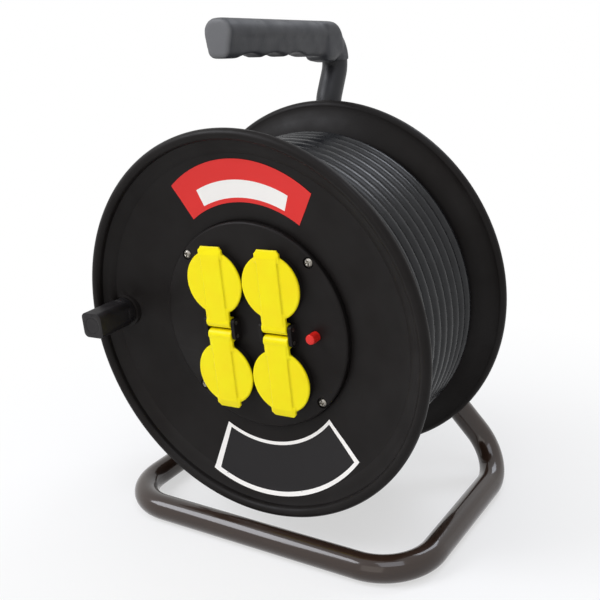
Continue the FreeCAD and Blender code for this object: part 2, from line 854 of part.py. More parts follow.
def socket_housing():
    """Cup that closes the back of the panel, with screw holes and the way in for the cord's conductors."""
    inner = housing_radius - s.housing_wall
    outline = [
        (inner, panel_back), (housing_radius, panel_back), (housing_radius, s.housing_depth),
        (0.0, s.housing_depth), (0.0, housing_floor), (inner, housing_floor),
    ]
    holes = [rod("housing_screw_way", s.screw_radius + s.screw_gap, s.housing_wall + 2 * OVER,
                 0.0, housing_floor - OVER, up * post_up) for up in (-1, 1)]
    way = lead_point(s.lead_offset - s.gland_inset, s.gland_back)
    holes.append(rod("conductor_way", s.conductor_way, s.housing_wall + 2 * OVER,
                     way.x, housing_floor - OVER, way.z))
    return cut("socket_housing", revolve("housing_cup", outline), holes)


def cord_gland():
    """Block on the back of the housing that grips the cord and leads its conductors inside."""
    half = s.cord_radius + s.gland_wall
    low = s.gland_back - half
    corners = [
        lead_corner(s.lead_offset - half, low), lead_corner(s.lead_offset - half, s.gland_front),
        lead_corner(s.lead_offset + half, s.gland_front), lead_corner(s.lead_offset + half, low),
    ]
    body = extrude("gland_block", "XZ_Plane", corners, s.housing_depth, s.gland_rise + half)
    bore = feature("gland_bore", lead_tube(s.cord_radius + s.pin_seat_gap))
    way = lead_point(s.lead_offset - s.gland_inset, s.gland_back)
    duct = rod("gland_duct", s.conductor_way, lead_depth - s.housing_depth + OVER,
               way.x, s.housing_depth - OVER, way.z)
    return cut("cord_gland", body, [bore, duct])


def reset_button():
    """Red button with a retaining collar behind the panel and a stem into the cut-out."""
    collar = panel_back + s.button_gap
    edge = s.button_radius / 6
    collar_back = collar + s.button_gap * 4
    stem_end = s.cutout_front + 2 * s.button_travel
    outline = [
        (0.0, s.button_front), (s.button_radius - edge, s.button_front),
        (s.button_radius, s.button_front + edge),
        (s.button_radius, collar), (s.button_collar, collar), (s.button_collar, collar_back),
        (s.button_stem, collar_back), (s.button_stem, stem_end), (0.0, stem_end),
    ]
    return place(revolve("reset_button", outline), s.button_across, 0.0, outlets_z)


def thermal_cutout():
    """Overload cut-out between the panel and the housing floor."""
    half = s.cutout_width / 2
    up = s.cutout_height / 2
    case = block("cutout_case", s.button_across - half, s.cutout_front, outlets_z - up,
                 s.button_across + half, housing_floor, outlets_z + up)
    bore = rod("stem_bore", s.button_stem + s.stem_gap, 3.5 * s.button_travel + OVER,
               s.button_across, s.cutout_front - OVER, outlets_z)
    return cut("thermal_cutout", case, [bore])


# Lids

lid_face = s.lid_top + s.band_rise
lid_under = lid_face + s.lid_thick
lid_centre = s.outlet_up - s.hinge_up
lid_tip = lid_centre + s.lid_radius + s.tab_reach


def lid(name):
    """Outlet lid, its hinge axis at x = z = 0: a disc, a raised band, a finger tab and the hinge barrel."""
    edge = s.band_rise * 0.6
    disc = place(revolve(name + "_disc", [
        (0.0, lid_face), (s.lid_radius - edge, lid_face), (s.lid_radius, lid_face + edge),
        (s.lid_radius, lid_under), (0.0, lid_under),
    ]), 0.0, 0.0, lid_centre)
    half = s.tab_width / 2
    sunk = s.barrel_of_hinge / 4
    tab_face = s.lid_top + s.band_rise / 2
    crease = lid_tip - 2 * s.tab_reach
    finger_tab = extrude(name + "_finger", "XZ_Plane", [
        (-half, crease - s.tab_reach), (half, crease - s.tab_reach), (half, lid_tip - s.tab_corner),
        (half - s.tab_corner, lid_tip), (-half + s.tab_corner, lid_tip), (-half, lid_tip - s.tab_corner),
    ], tab_face, lid_under - tab_face)
    hinge_tab = block(name + "_root", -half, tab_face, sunk, half, lid_under,
                      lid_centre - s.lid_radius + 2 * s.tab_corner)
    band = block(name + "_band", -s.band_width / 2, s.lid_top, sunk, s.band_width / 2, lid_under, lid_tip)
    barrel = rod(name + "_barrel", s.barrel_of_hinge, s.tab_width, -half, s.hinge_depth, 0.0, RIGHTWARD)
    bore = rod(name + "_bore", s.hinge_pin_radius + s.hinge_pin_gap, s.tab_width + 2 * OVER, -half - OVER,
               s.hinge_depth, 0.0, RIGHTWARD)
    room = s.spring_radius + s.lid_gap
    notch = block(name + "_notch", -s.spring_notch / 2, s.hinge_depth - room, -room,
                  s.spring_notch / 2, s.hinge_depth + 2 * room, room)
    slope = extrude(name + "_slope", "YZ_Plane", [
        (s.lid_top - OVER, crease), (s.lid_top, crease), (s.lid_top + s.tab_slope, lid_tip + OVER),
        (s.lid_top - OVER, lid_tip + OVER),
    ], -half - OVER, s.tab_width + 2 * OVER)
    whole = fuse(name + "_whole", [disc, finger_tab, hinge_tab, band, barrel])
    return cut(name, whole, [bore, notch, slope])


def hinge_places():
    """Return where each lid's hinge is and whether it points down."""
    return [(side * outlet_across, up * s.hinge_up, up < 0) for up in (1, -1) for side in (-1, 1)]


def lid_pins():
    """Steel hinge pins, one for each lid, held in the ears."""
    reach = s.tab_width / 2 + s.ear_gap + s.ear_thick
    pins = [rod("lid_pin", s.hinge_pin_radius, 2 * reach, x - reach, s.hinge_depth, z, RIGHTWARD)
            for x, z, down in hinge_places()]
    return group("lid_pins", pins)


def lid_springs():
    """Torsion springs that close the lids, as plain sleeves hidden in the hinge barrels."""
    springs = []
    length = s.spring_notch - 2 * s.lid_gap
    for x, z, down in hinge_places():
        spring = tube("lid_spring", s.spring_radius, s.hinge_pin_radius + s.pin_seat_gap, 0.0, length)
        spring.Placement = Placement(V(x - length / 2, s.hinge_depth, z), Rotation(V(0, 0, 1), -90))
        springs.append(spring)
    return group("lid_springs", springs)


# Crank knob

knob_foot = s.knob_seat - s.knob_gap
recess_floor = s.knob_recess - s.knob_front


def crank_knob():
    """Square knob with round corners on a round foot, bored for its pin."""
    half = s.knob_side / 2
    grip = extrude("knob_grip", "XZ_Plane", rounded(-half, -half, half, half, s.knob_corner),
                   -s.knob_front, s.knob_front + knob_foot - s.knob_foot)
    foot = rod("knob_foot", s.knob_foot_radius, s.knob_foot + OVER, 0.0, knob_foot - s.knob_foot - OVER, 0.0)
    bore = rod("knob_bore", s.knob_pin_radius + s.knob_pin_gap, s.knob_front + knob_foot + 2 * OVER,
               0.0, -s.knob_front - OVER, 0.0)
    recess = rod("knob_recess", s.knob_head_radius + s.lid_gap, s.knob_recess + OVER,
                 0.0, -s.knob_front - OVER, 0.0)
    knob = cut("crank_knob", fuse("knob_whole", [grip, foot]), [bore, recess])
    knob.Placement = Placement(V(knob_x, 0, knob_z), UPRIGHT)
    return knob


def knob_pin():
    """Shouldered steel pin that the knob turns on, fast in the flange."""
    under = recess_floor - s.lid_gap
    outline = [
        (0.0, under - s.knob_head), (s.knob_head_radius, under - s.knob_head), (s.knob_head_radius, under),
        (s.knob_pin_radius, under), (s.knob_pin_radius, s.knob_boss_back), (0.0, s.knob_boss_back),
    ]
    return place(revolve("knob_pin", outline), knob_x, 0.0, knob_z)


# Axle, its plate and the bent tube frame

upright_back = s.drum_width + s.upright_gap
plate_back = upright_back - s.tube_radius
plate_front = plate_back - s.plate_thick
shoulder = hub_front - s.hub_play
nut_back = shoulder - s.washer_thick


def axle():
    """Steel axle, welded in the plate, with a shoulder and a threaded end for the nut."""
    tip = nut_back - s.nut_height - s.thread_proud
    return revolve("axle", [
        (0.0, plate_back), (s.axle_radius, plate_back), (s.axle_radius, shoulder), (s.thread_radius, shoulder),
        (s.thread_radius, tip), (0.0, tip),
    ])


def axle_nut():
    """Hexagon nut on the axle."""
    reach = s.nut_across / math.sqrt(3)
    corners = []
    for index in range(6):
        angle = math.radians(60 * index)
        corners.append((reach * math.cos(angle), reach * math.sin(angle)))
    body = extrude("nut_body", "XZ_Plane", corners, nut_back - s.nut_height, s.nut_height)
    hole = rod("nut_hole", s.thread_radius + s.pin_seat_gap, s.nut_height + 2 * OVER,
               0.0, nut_back - s.nut_height - OVER, 0.0)
    return cut("axle_nut", body, [hole])


def hub_plate():
    """Steel plate between the axle and the tubes."""
    half = s.plate_width / 2
    up = s.plate_height / 2
    x = -s.upright_across / 2
    body = extrude("plate_body", "XZ_Plane", rounded(x - half, -up, x + half, up, s.plate_corner),
                   plate_front, s.plate_thick)
    hole = rod("axle_seat", s.axle_radius + s.pin_seat_gap, s.plate_thick + 2 * OVER,
               0.0, plate_front - OVER, 0.0)
    return cut("hub_plate", body, [hole])


floor = s.tube_radius - s.axle_height
elbow_back = upright_back + s.lean_back
grip_front = elbow_back - s.bar_stop - s.grip_length
grip_fall = math.tan(math.radians(s.grip_tilt))
elbow_height = s.grip_height - (elbow_back - grip_front) * grip_fall


def handle_path():
    """Centre line of the upright, from its foot up to the bend and forward inside the grip."""
    x = -s.upright_across
    return bent_path([
        V(x, upright_back, -s.upright_foot), V(x, upright_back, elbow_height - s.lean_drop),
        V(x, elbow_back, elbow_height),
        V(x, grip_front + s.tube_in_grip, s.grip_height - s.tube_in_grip * grip_fall),
    ], [s.lean_bend, s.elbow_bend])


handle_foot = V(-s.upright_across, upright_back, -s.upright_foot)


def hollow(name, path, start, way):
    """Make a steel tube along a path."""
    outside = feature(name + "_outside", swept(path, round_section(s.tube_radius, start, way)))
    inside = feature(name + "_inside", swept(path, round_section(s.tube_radius - s.tube_wall, start, way)))
    return cut(name, outside, [inside])


def handle_tube():
    """Upright tube, bent forward at the top into the grip."""
    return hollow("handle_tube", handle_path(), handle_foot, V(0, 0, 1))


def base_tube():
    """Floor loop with two legs that rise behind the drum to the upright, each coped to its side."""
    meet = V(-s.upright_across, upright_back, s.legs_meet)
    front = V(0, -s.base_front, floor)
    halves = []
    back = upright_back + s.leg_back
    for side in (-1, 1):
        across = side * s.base_half_width
        corners = [meet, V(across, back, floor), V(across, -s.base_front, floor), front]
        half = hollow("loop_half", bent_path(corners, [s.rear_bend, s.base_bend]), meet, corners[1] - meet)
        halves.append(half)
    upright = rod("upright_cope", s.tube_radius + s.pin_seat_gap,
                  s.upright_foot + s.legs_meet + 3 * s.tube_radius,
                  -s.upright_across, upright_back, -s.upright_foot - OVER, UPRIGHT)
    coped = [cut("loop_coped", half, [upright]) for half in halves]
    return fuse("base_tube", coped)


def grip_bar():
    """Bar of the grip: wide and round on top, narrower below, with rounded ends."""
    half = s.grip_width / 2
    sole = s.grip_sole / 2
    corner = s.grip_corner
    flank = corner * 1.6
    edge = sole + corner / 4
    section = [
        (corner / 2 - sole, -s.grip_root), (sole - corner / 2, -s.grip_root, corner),
        (edge, corner - s.grip_root),
        (half, s.grip_crown - flank, flank), (half - flank, s.grip_crown), (flank - half, s.grip_crown, flank),
        (-half, s.grip_crown - flank), (-edge, corner - s.grip_root, corner),
    ]
    bar = extrude("grip_bar", "XZ_Plane", section, 0.0, s.grip_length)
    round_faces(bar, "y", s.grip_end_round)
    tilt = Rotation(V(1, 0, 0), -float(s.grip_tilt))
    bar.Placement = Placement(V(-s.upright_across, grip_front, s.grip_height), tilt)
    return bar


def round_faces(body, axis, radius):
    """Round the edges of the two end faces of a pad, which face along an axis."""
    pad = body.Tip
    doc.recompute()
    ends = ["Face%d" % index for index, face in enumerate(pad.Shape.Faces, start=1)
            if abs(getattr(face.normalAt(0, 0), axis)) > 0.9]
    rounding = body.newObject("PartDesign::Fillet", body.Name + "_round")
    rounding.Base = (pad, ends)
    bind(rounding, "Radius", radius)


def grip_elbow():
    """Back of the grip: the rounded corner over the bend and the chin below the bar."""
    nose = elbow_back - s.elbow_nose
    chin = elbow_height - s.elbow_chin
    heel = elbow_back - s.elbow_heel
    crest = elbow_height + s.elbow_crest
    reach = s.elbow_round - OVER
    side_view = [
        (nose, chin + s.elbow_soft), (nose + s.elbow_soft / 2, chin), (heel - reach, chin - s.elbow_soft / 2),
        (heel, chin + s.elbow_soft), (heel, crest - s.elbow_round, s.elbow_round), (heel - reach, crest),
        (nose, crest + (heel - reach - nose) * grip_fall),
    ]
    elbow = extrude("grip_elbow", "YZ_Plane", side_view, -s.upright_across - s.elbow_width / 2, s.elbow_width)
    round_faces(elbow, "x", s.elbow_soft)
    return elbow


def hand_grip():
    """Moulded grip with finger grooves underneath and a sleeve that follows the bend of the tube."""
    bar = grip_bar()
    straight, lean, slant, bend, inner = handle_path().Edges
    hidden = Part.LineSegment(inner.valueAt(inner.FirstParameter),
                              inner.valueAt(inner.FirstParameter + s.elbow_soft)).toShape()
    mouth = bend.valueAt(bend.FirstParameter)
    sleeve = swept(Part.Wire([bend, hidden]),
                   round_section(s.tube_radius + s.sleeve_wall, mouth, bend.tangentAt(bend.FirstParameter)))
    deep = s.groove_deep
    radius = (s.groove_pitch * s.groove_pitch / 4 + deep * deep) / (2 * deep)
    grooves = []
    for index in range(3):
        y = s.groove_start + (index + 0.5) * s.groove_pitch
        groove = rod("groove", radius, 2 * s.grip_width, -s.grip_width,
                     y, deep - s.grip_root - radius, RIGHTWARD)
        grooves.append(carry(groove, bar.Placement))
    bore = round_section(s.tube_radius + s.grip_bore_gap, handle_foot, V(0, 0, 1))
    way = feature("grip_bore", swept(handle_path(), bore))
    side = s.upright_across + s.grip_width
    level = elbow_height - s.elbow_chin - s.elbow_soft / 2
    below = block("below_mouth", -side, upright_back - s.tube_radius * 2, -s.upright_foot,
                  side, elbow_back + s.tube_radius * 2, level)
    whole = fuse("grip_whole", [bar, grip_elbow(), feature("grip_sleeve", sleeve)])
    return cut("hand_grip", whole, grooves + [way, below])


# Cord: the inner layers as a plain ring, the outer layer wound, then the tail to the plug

wound_radius = s.flange_radius - s.wound_inset
turn_radius = wound_radius - s.cord_radius
lower_radius = turn_radius - 2 * s.cord_radius
pitch = 2 * s.cord_radius + s.turn_gap
turn_count = int((s.drum_width - s.wound_start - s.wound_end) / pitch)
last_depth = s.wound_start + turn_count * pitch
CORD_SIDES = 6
ridge = s.cord_radius * math.sqrt(2 * math.pi / CORD_SIDES / math.sin(2 * math.pi / CORD_SIDES))
CLIMB = 0.25
END_ANGLE = -math.pi / 2


def cord_point(angle):
    """Return the centre of the outer layer; the angle counts from its free end back to its start."""
    turns = angle / (2 * math.pi)
    depth = max(last_depth - pitch * turns, s.wound_start)
    climb = min(max((turns - turn_count) / CLIMB + 1, 0.0), 1.0)
    radius = turn_radius - 2 * s.cord_radius * (3 - 2 * climb) * climb * climb
    around = END_ANGLE + angle
    return V(radius * math.cos(around), depth, radius * math.sin(around))


def cord_way(angle):
    """Return the direction in which the cord runs there, towards its free end."""
    near = math.radians(0.001)
    return (cord_point(angle - near) - cord_point(angle + near)).normalize()


def arc_from(start, way, end):
    """Return the arc that leaves a point in a direction and ends at another point."""
    chord = end - start
    across = (way.cross(chord)).cross(way).normalize()
    radius = chord.dot(chord) / (2 * chord.dot(across))
    centre = start + across * radius
    middle = centre + ((start - centre) + (end - centre)).normalize() * abs(radius)
    return Part.Arc(start, middle, end).toShape()


def biarc(start, way, end, end_way):
    """Return two arcs that join two points and keep both directions."""
    chord = end - start
    both = way + end_way
    reach = 2 * (1 - way.dot(end_way))
    along = chord.dot(both)
    arm = (math.sqrt(along * along + reach * chord.dot(chord)) - along) / reach
    joint = (start + end + (way - end_way) * arm) * 0.5
    first = arc_from(start, way, joint)
    second = arc_from(end, end_way * -1, joint)
    halfway = second.valueAt((second.FirstParameter + second.LastParameter) / 2)
    return [first, Part.Arc(joint, halfway, end).toShape()]


def wound_path():
    """Outer layer from the wall of its channel, up over a quarter turn, then turn by turn to the rear."""
    quarter = math.pi / 2
    last = turn_count * 4 + 1
    angles = [quarter * index for index in range(last, -1, -1)]
    points = [cord_point(angle) for angle in angles]
    ways = [cord_way(angle) for angle in angles]
    for end in (0, -1):
        ways[end] = V(ways[end].x, 0, ways[end].z).normalize()
    straight = 2 * s.cord_radius
    edges = [Part.LineSegment(points[0] - ways[0] * straight, points[0]).toShape()]
    for index in range(len(points) - 1):
        edges += biarc(points[index], ways[index], points[index + 1], ways[index + 1])
    edges.append(Part.LineSegment(points[-1], points[-1] + ways[-1] * straight).toShape())
    return Part.Wire(edges), points[0] - ways[0] * straight, ways[0]


def cord_winding():
    """One unbroken cord round the drum, six-sided with the section of the round cord."""
    path, start, way = wound_path()
    return feature("cord_winding", swept(path, faceted_section(ridge, CORD_SIDES, start, way, V(0, 1, 0))))


def least_gap():
    """Measure the least gap of the outer layer to itself on points along it."""
    steps = 90
    total = int((turn_count + CLIMB) * steps)
    points = [cord_point(2 * math.pi * index / steps) for index in range(total)]
    least = min((a - b).Length for index, a in enumerate(points) for b in points[index + steps // 4:])
    return least - 2 * s.cord_radius


def cord_core():
    """Inner layers of the cord as a ring, with the channel where the outer layer starts."""
    gap = s.cord_seat_gap
    inner = barrel_radius + gap
    outer = turn_radius - ridge - gap
    side = s.dish_depth + s.flange_wall + gap
    ring = revolve("cord_ring", [
        (inner, barrel_front + gap), (dish_radius, side), (outer, side), (outer, s.drum_width - side),
        (dish_radius, s.drum_width - side), (inner, barrel_back - gap),
    ])
    low = lower_radius - ridge - gap
    channel_back = s.wound_start + ridge + gap + pitch * CLIMB
    channel_ring = tube("channel_ring", outer + OVER, low, side - OVER, channel_back)
    reach = 2 * wound_radius
    room = block("channel_room", -reach, side - 2 * OVER, -reach, reach, channel_back + OVER, 2 * s.cord_radius)
    channel = doc.addObject("Part::Common", "channel")
    channel.Base = channel_ring
    channel.Tool = room
    return cut("cord_core", ring, [channel, feature("lead_bed", lead_tube(s.cord_radius + gap))])


# Shape of the plug: the boot's thin end, the body's heel, and how far its cone goes along it
PLUG_NECK = 0.8
PLUG_HEEL = 0.7
PLUG_CONE = 0.4
plug_line = wound_radius + s.plug_gap + s.plug_radius
plug_turn = math.radians(s.plug_angle)
plug_out = V(math.cos(plug_turn), 0, math.sin(plug_turn))
plug_way = V(math.sin(plug_turn), 0, -math.cos(plug_turn))
plug_foot = plug_out * plug_line + V(0, s.plug_depth, 0)
boot_end = plug_foot - plug_way * s.plug_boot


# Share of the shorter run at a corner of the tail that its bend takes
TAIL_BEND = 0.45


def tail_points():
    """Route of the cord's tail, from the end of the winding past a corner to the plug's boot."""
    start = V(-2 * s.cord_radius, last_depth, -turn_radius)
    corner = V(-s.tail_corner * turn_radius, (last_depth + s.plug_depth) / 2, -s.tail_corner_drop * turn_radius)
    return [
        start,
        start - V(s.tail_straight, 0, 0),
        corner,
        boot_end - plug_way * s.tail_straight,
        boot_end,
    ]


def cord_tail():
    """Loose end of the cord, from the last turn to the plug."""
    points = tail_points()
    start = points[0]
    bends = []
    for before, corner, after in zip(points, points[1:], points[2:]):
        run = min((corner - before).Length, (after - corner).Length)
        turned = (corner - before).getAngle(after - corner)
        bends.append(TAIL_BEND * run / math.tan(turned / 2))
    print("tail bend radii", [round(bend, 1) for bend in bends])
    path = bent_path(points, bends)
    shape = swept(path, round_section(s.cord_radius, start, points[1] - start))
    section = math.pi * s.cord_radius * s.cord_radius
    print("tail volume over section times length", round(shape.Volume / section / path.Length, 4))
    return feature("cord_tail", shape)


plug_place = Placement(plug_foot, Rotation(V(0, 1, 0), plug_way, V(0, 1, 0).cross(plug_way), "XYZ"))


def plug():
    """Round two-pin plug with a tapered boot, lying on the winding."""
    neck = s.plug_boot_radius * PLUG_NECK
    heel = s.plug_radius * PLUG_HEEL
    outline = [
        (0.0, -s.plug_boot), (neck, -s.plug_boot), (s.plug_boot_radius, 0.0),
        (heel, s.plug_radius - heel - s.cord_radius / 2), (s.plug_radius, s.plug_length * PLUG_CONE),
        (s.plug_radius, s.plug_length), (0.0, s.plug_length),
    ]
    body = revolve("plug", outline)
    body.Placement = plug_place
    return body


def plug_pins():
    """Two round plug pins with rounded ends."""
    pins = []
    tip = s.plug_pin_radius / 2
    for side in (-1, 1):
        outline = [
            (0.0, s.plug_length), (s.plug_pin_radius, s.plug_length),
            (s.plug_pin_radius, s.plug_length + s.plug_pin_length - tip),
            (tip, s.plug_length + s.plug_pin_length), (0.0, s.plug_length + s.plug_pin_length),
        ]
        pin = revolve("plug_pin", outline)
        pin.Placement = plug_place * Placement(V(side * s.pin_spacing / 2, 0, 0), UPRIGHT)
        pins.append(pin)
    return group("plug_pins", pins)


# Assembly

node("base_tube", base_tube(), frame_place)
node("handle_tube", handle_tube(), frame_place)
node("hand_grip", hand_grip(), frame_place)
node("hub_plate", hub_plate(), frame_place)
node("axle", axle(), frame_place)
node("rear_washer", tube("rear_washer", s.washer_radius, s.axle_radius + s.axle_gap,
                         hub_rear + s.hub_play, plate_front), frame_place)
node("front_washer", tube("front_washer", s.washer_radius, s.thread_radius + s.pin_seat_gap,
                          nut_back, shoulder), frame_place)
node("axle_nut", axle_nut(), frame_place)

node("front_flange", front_flange(), drum_place)
node("rear_flange", rear_flange(), drum_place)
node("drum_core", drum_core(), drum_place)
node("drum_screws", group("drum_screws", [
    screw("drum_screw", x, z, s.drum_width - s.collar_depth, s.drum_screw_length, -1) for x, z in screw_places
]), drum_place)
node("socket_panel", socket_panel(), drum_place)
node("panel_screws", group("panel_screws", [
    screw("panel_screw", x, z, s.panel_depth + s.screw_recess, s.panel_screw_length, 1) for x, z in screw_places
]), drum_place)
node("socket_housing", socket_housing(), drum_place)
node("housing_screws", group("housing_screws", [
    screw("housing_screw", 0.0, up * post_up, s.housing_depth, s.housing_screw_length, -1) for up in (-1, 1)
]), drum_place)
for index, (x, z) in enumerate(outlets, start=1):
    name = "socket_insert_%d" % index
    node(name, socket_insert(name, x, z), outlet_place)
node("contact_sleeves", contact_sleeves(), outlet_place)
bar_half = s.bar_width / 2
for name, depth, side in (("live_busbar", live_bar, 1), ("neutral_busbar", neutral_bar, -1)):
    columns = [x + side * s.pin_spacing / 2 for x in (-outlet_across, outlet_across)]
    node(name, busbar(name, depth, columns, bar_half, s.outlet_up + bar_half), outlet_place)
node("earth_strap", busbar("earth_strap", earth_bar, [-outlet_across, outlet_across], s.clip_width / 2,
                           s.outlet_up + clip_place + 2 * s.clip_thick), outlet_place)
node("earth_clips", earth_clips(), outlet_place)
node("thermal_cutout", thermal_cutout(), drum_place)
node("cord_gland", cord_gland(), drum_place)
node("lid_pins", lid_pins(), outlet_place)
node("lid_springs", lid_springs(), outlet_place)
node("knob_pin", knob_pin(), drum_place)
for index, (x, z, down) in enumerate(hinge_places(), start=1):
    name = "lid_%d" % index
    hinge = Placement(V(x, 0, z), Rotation(V(0, 1, 0), 180.0 if down else 0.0))
    node(name, lid(name), outlet_place * hinge)
node("crank_knob", crank_knob(), drum_place)
node("knob_cap", place(rod("knob_cap", s.knob_head_radius + s.lid_gap / 2, s.knob_cap, 0.0, -s.knob_front, 0.0),
                       knob_x, -s.knob_front, knob_z, BACKWARD), drum_place)
node("reset_button", reset_button(), drum_place)
node("cord_lead", feature("cord_lead", lead_tube(s.cord_radius)), drum_place)
node("cord_core", cord_core(), drum_place)
node("cord_winding", cord_winding(), drum_place)
node("cord_tail", cord_tail(), drum_place)
node("plug", plug(), drum_place)
node("plug_pins", plug_pins(), drum_place)
print("least gap of the outer layer to itself", round(least_gap(), 3))

doc.recompute()
failed = [item.Name for item in doc.Objects if "Invalid" in item.State or "Error" in item.State]
if failed:
    raise RuntimeError("these failed: " + ", ".join(failed))
for name, item in nodes.items():
    if item.Shape.isNull() or not item.Shape.isValid() or not item.Shape.Solids:
        raise RuntimeError("%s has no valid solid" % name)

# The origin is on the floor, below the middle of the reel without its cord
CORD = ("cord_lead", "cord_core", "cord_winding", "cord_tail", "plug", "plug_pins")
fronts = []
backs = []
for name, item in nodes.items():
    if name not in CORD:
        box = item.Shape.optimalBoundingBox(False, False)
        fronts.append(box.YMin)
        backs.append(box.YMax)
middle = (min(fronts) + max(backs)) / 2
print("front rim at", round(-middle, 4), "depth", round(max(backs) - min(fronts), 2))

os.makedirs("parts", exist_ok=True)
for name, item in nodes.items():
    shape = item.Shape.copy()
    shape.translate(V(0, -middle, 0))
    shape.exportStep(os.path.join("parts", name + ".step"))
    print(name, len(shape.Solids), round(shape.Volume))
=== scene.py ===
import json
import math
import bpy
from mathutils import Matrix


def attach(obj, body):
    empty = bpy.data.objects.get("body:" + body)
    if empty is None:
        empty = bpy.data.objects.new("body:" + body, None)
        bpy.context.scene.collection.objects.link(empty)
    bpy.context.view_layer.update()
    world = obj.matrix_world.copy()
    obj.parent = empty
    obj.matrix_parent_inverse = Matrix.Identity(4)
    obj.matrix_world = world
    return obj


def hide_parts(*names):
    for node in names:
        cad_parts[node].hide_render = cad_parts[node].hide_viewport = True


bl_info = {
    "name": "Extension cord reel",
    "version": (1, 0, 0),
    "blender": (4, 5, 0),
    "location": "View3D > Sidebar > Cord reel",
    "description": "Finishes, cord, labels and studio for an extension cord reel",
    "category": "Object",
}

import bmesh
import bpy
from mathutils import Matrix, Vector

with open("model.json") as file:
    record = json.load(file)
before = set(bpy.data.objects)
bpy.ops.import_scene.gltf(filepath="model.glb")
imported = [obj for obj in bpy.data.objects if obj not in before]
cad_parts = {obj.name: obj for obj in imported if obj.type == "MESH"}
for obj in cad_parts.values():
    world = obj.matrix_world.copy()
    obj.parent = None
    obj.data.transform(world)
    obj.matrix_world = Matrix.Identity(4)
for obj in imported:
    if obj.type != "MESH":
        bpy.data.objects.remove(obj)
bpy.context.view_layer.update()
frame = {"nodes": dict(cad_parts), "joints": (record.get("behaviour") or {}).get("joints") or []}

MM = 0.001
DRUM = "drum"
STAND = "frame"


# Colours and sizes that a user may change

def linear(code):
    """Turn an sRGB hex colour into the linear values that shaders use."""
    values = [int(code[start:start + 2], 16) / 255 for start in (1, 3, 5)]
    return [value / 12.92 if value <= 0.04045 else ((value + 0.055) / 1.055) ** 2.4 for value in values]


def colour(name, description, code):
    """Describe a colour property."""
    return bpy.props.FloatVectorProperty(
        name=name, description=description, default=linear(code), subtype="COLOR", size=3, min=0, max=1)


def length(name, description, millimetres):
    """Describe a length property, given in millimetres and kept in metres."""
    return bpy.props.FloatProperty(
        name=name, description=description, default=millimetres * MM, unit="LENGTH")


def angle(name, description, degrees):
    """Describe an angle property, given in degrees."""
    return bpy.props.FloatProperty(
        name=name, description=description, default=math.radians(degrees), subtype="ANGLE", unit="ROTATION")


class ReelColours(bpy.types.PropertyGroup):
    """Colours of the reel's finishes."""

    drum: colour("Drum", "Moulded drum and panel", "#151211")
    insert: colour("Outlet", "Outlet wells behind the lids", "#131313")
    lid: colour("Lid", "Outlet lids", "#F3E500")
    knob: colour("Knob", "Crank knob", "#1C1A1B")
    button: colour("Button", "Reset button", "#D8241C")
    grip: colour("Grip", "Carrying grip", "#2C2D31")
    # The floor loop's brown is a painted reflection of a warm floor on black paint.
    tube: colour("Floor loop", "Enamelled steel tube of the floor loop and legs", "#2E2018")
    upright: colour("Upright", "Satin steel tube that carries the grip", "#202023")
    cord: colour("Cord", "Rubber jacket of the cord", "#111215")
    label_red: colour("Upper label", "Ground of the upper label", "#DE2F2B")
    label_dark: colour("Lower label", "Ground of the lower label", "#1D1B1C")
    label_white: colour("Label white", "Band and border of the labels", "#F4F1EC")


class ReelCord(bpy.types.PropertyGroup):
    """The cord's real size and how it lies on the drum."""

    full_length: bpy.props.FloatProperty(
        name="Length", description="Whole length of the cord", default=25.0, unit="LENGTH")
    diameter: length("Diameter", "Outside diameter of the jacket", 10.0)
    points_per_turn: bpy.props.IntProperty(
        name="Points per turn", description="Control points in each turn", default=16, min=12)


class ReelLabels(bpy.types.PropertyGroup):
    """How the two labels lie on the front flange."""

    proud: length("Proud", "Height of a label over the flange", 0.3)


class ReelStage(bpy.types.PropertyGroup):
    """The camera's place, turn and lens."""

    camera_across: length("Camera X", "Camera to the right of the axle", 380.4)
    camera_depth: length("Camera Y", "Camera in front of the origin", -568.54)
    camera_height: length("Camera Z", "Camera over the floor", 400.5)
    camera_yaw: angle("Yaw", "Camera's turn to the left", 33.69)
    camera_pitch: angle("Pitch", "Camera's tilt down", 18.62)
    camera_roll: angle("Roll", "Camera's roll", -4.3)
    lens: bpy.props.FloatProperty(name="Lens", description="Focal length in millimetres", default=56.2)


GROUPS = {
    "reel_colours": ReelColours, "reel_cord": ReelCord, "reel_labels": ReelLabels, "reel_stage": ReelStage}


# The reel's own directions: the drum rests turned a little about its axle. On it, x goes right, y back from the
# middle of the front rim and z up from the axle, and depths and radii are in millimetres.

AXLE_HEIGHT = 169.0 * MM
FRONT_RIM = -71.74 * MM
DRUM_TURN = math.radians(2.0)

# Front flange's face: depth at each radius
DISH = [(83.5, 15.3), (105.0, 11.5), (127.0, 6.4), (127.7, 5.7), (137.0, 1.8)]

# Middle of the grip's front end, and the way from there along the grip
GRIP_TILT = math.radians(4.95)
GRIP_START = (-8.0 * MM, FRONT_RIM + 11.0 * MM, AXLE_HEIGHT + 202.3 * MM)
GRIP_AXIS = (0, math.cos(GRIP_TILT), -math.sin(GRIP_TILT))


def on_drum(x, y, z):
    """Turn a point of the drum, in millimetres from its axle at the front rim, into the reel's metres."""
    across = x * math.cos(DRUM_TURN) - z * math.sin(DRUM_TURN)
    up = x * math.sin(DRUM_TURN) + z * math.cos(DRUM_TURN)
    return Vector((across * MM, FRONT_RIM + y * MM, AXLE_HEIGHT + up * MM))


def drum_matrix():
    """Return the same turn as a matrix, for meshes in metres."""
    return Matrix.Translation((0, FRONT_RIM, AXLE_HEIGHT)) @ Matrix.Rotation(-DRUM_TURN, 4, "Y")


def dish_depth(radius):
    """Return how deep the front flange's face lies at a radius."""
    for (inner, deep), (outer, shallow) in zip(DISH, DISH[1:]):
        if radius <= outer:
            return deep + (shallow - deep) * (radius - inner) / (outer - inner)
    return DISH[-1][1]


# Meshes

# Points nearer than this, in metres, are one point
DOUBLED = 2e-6
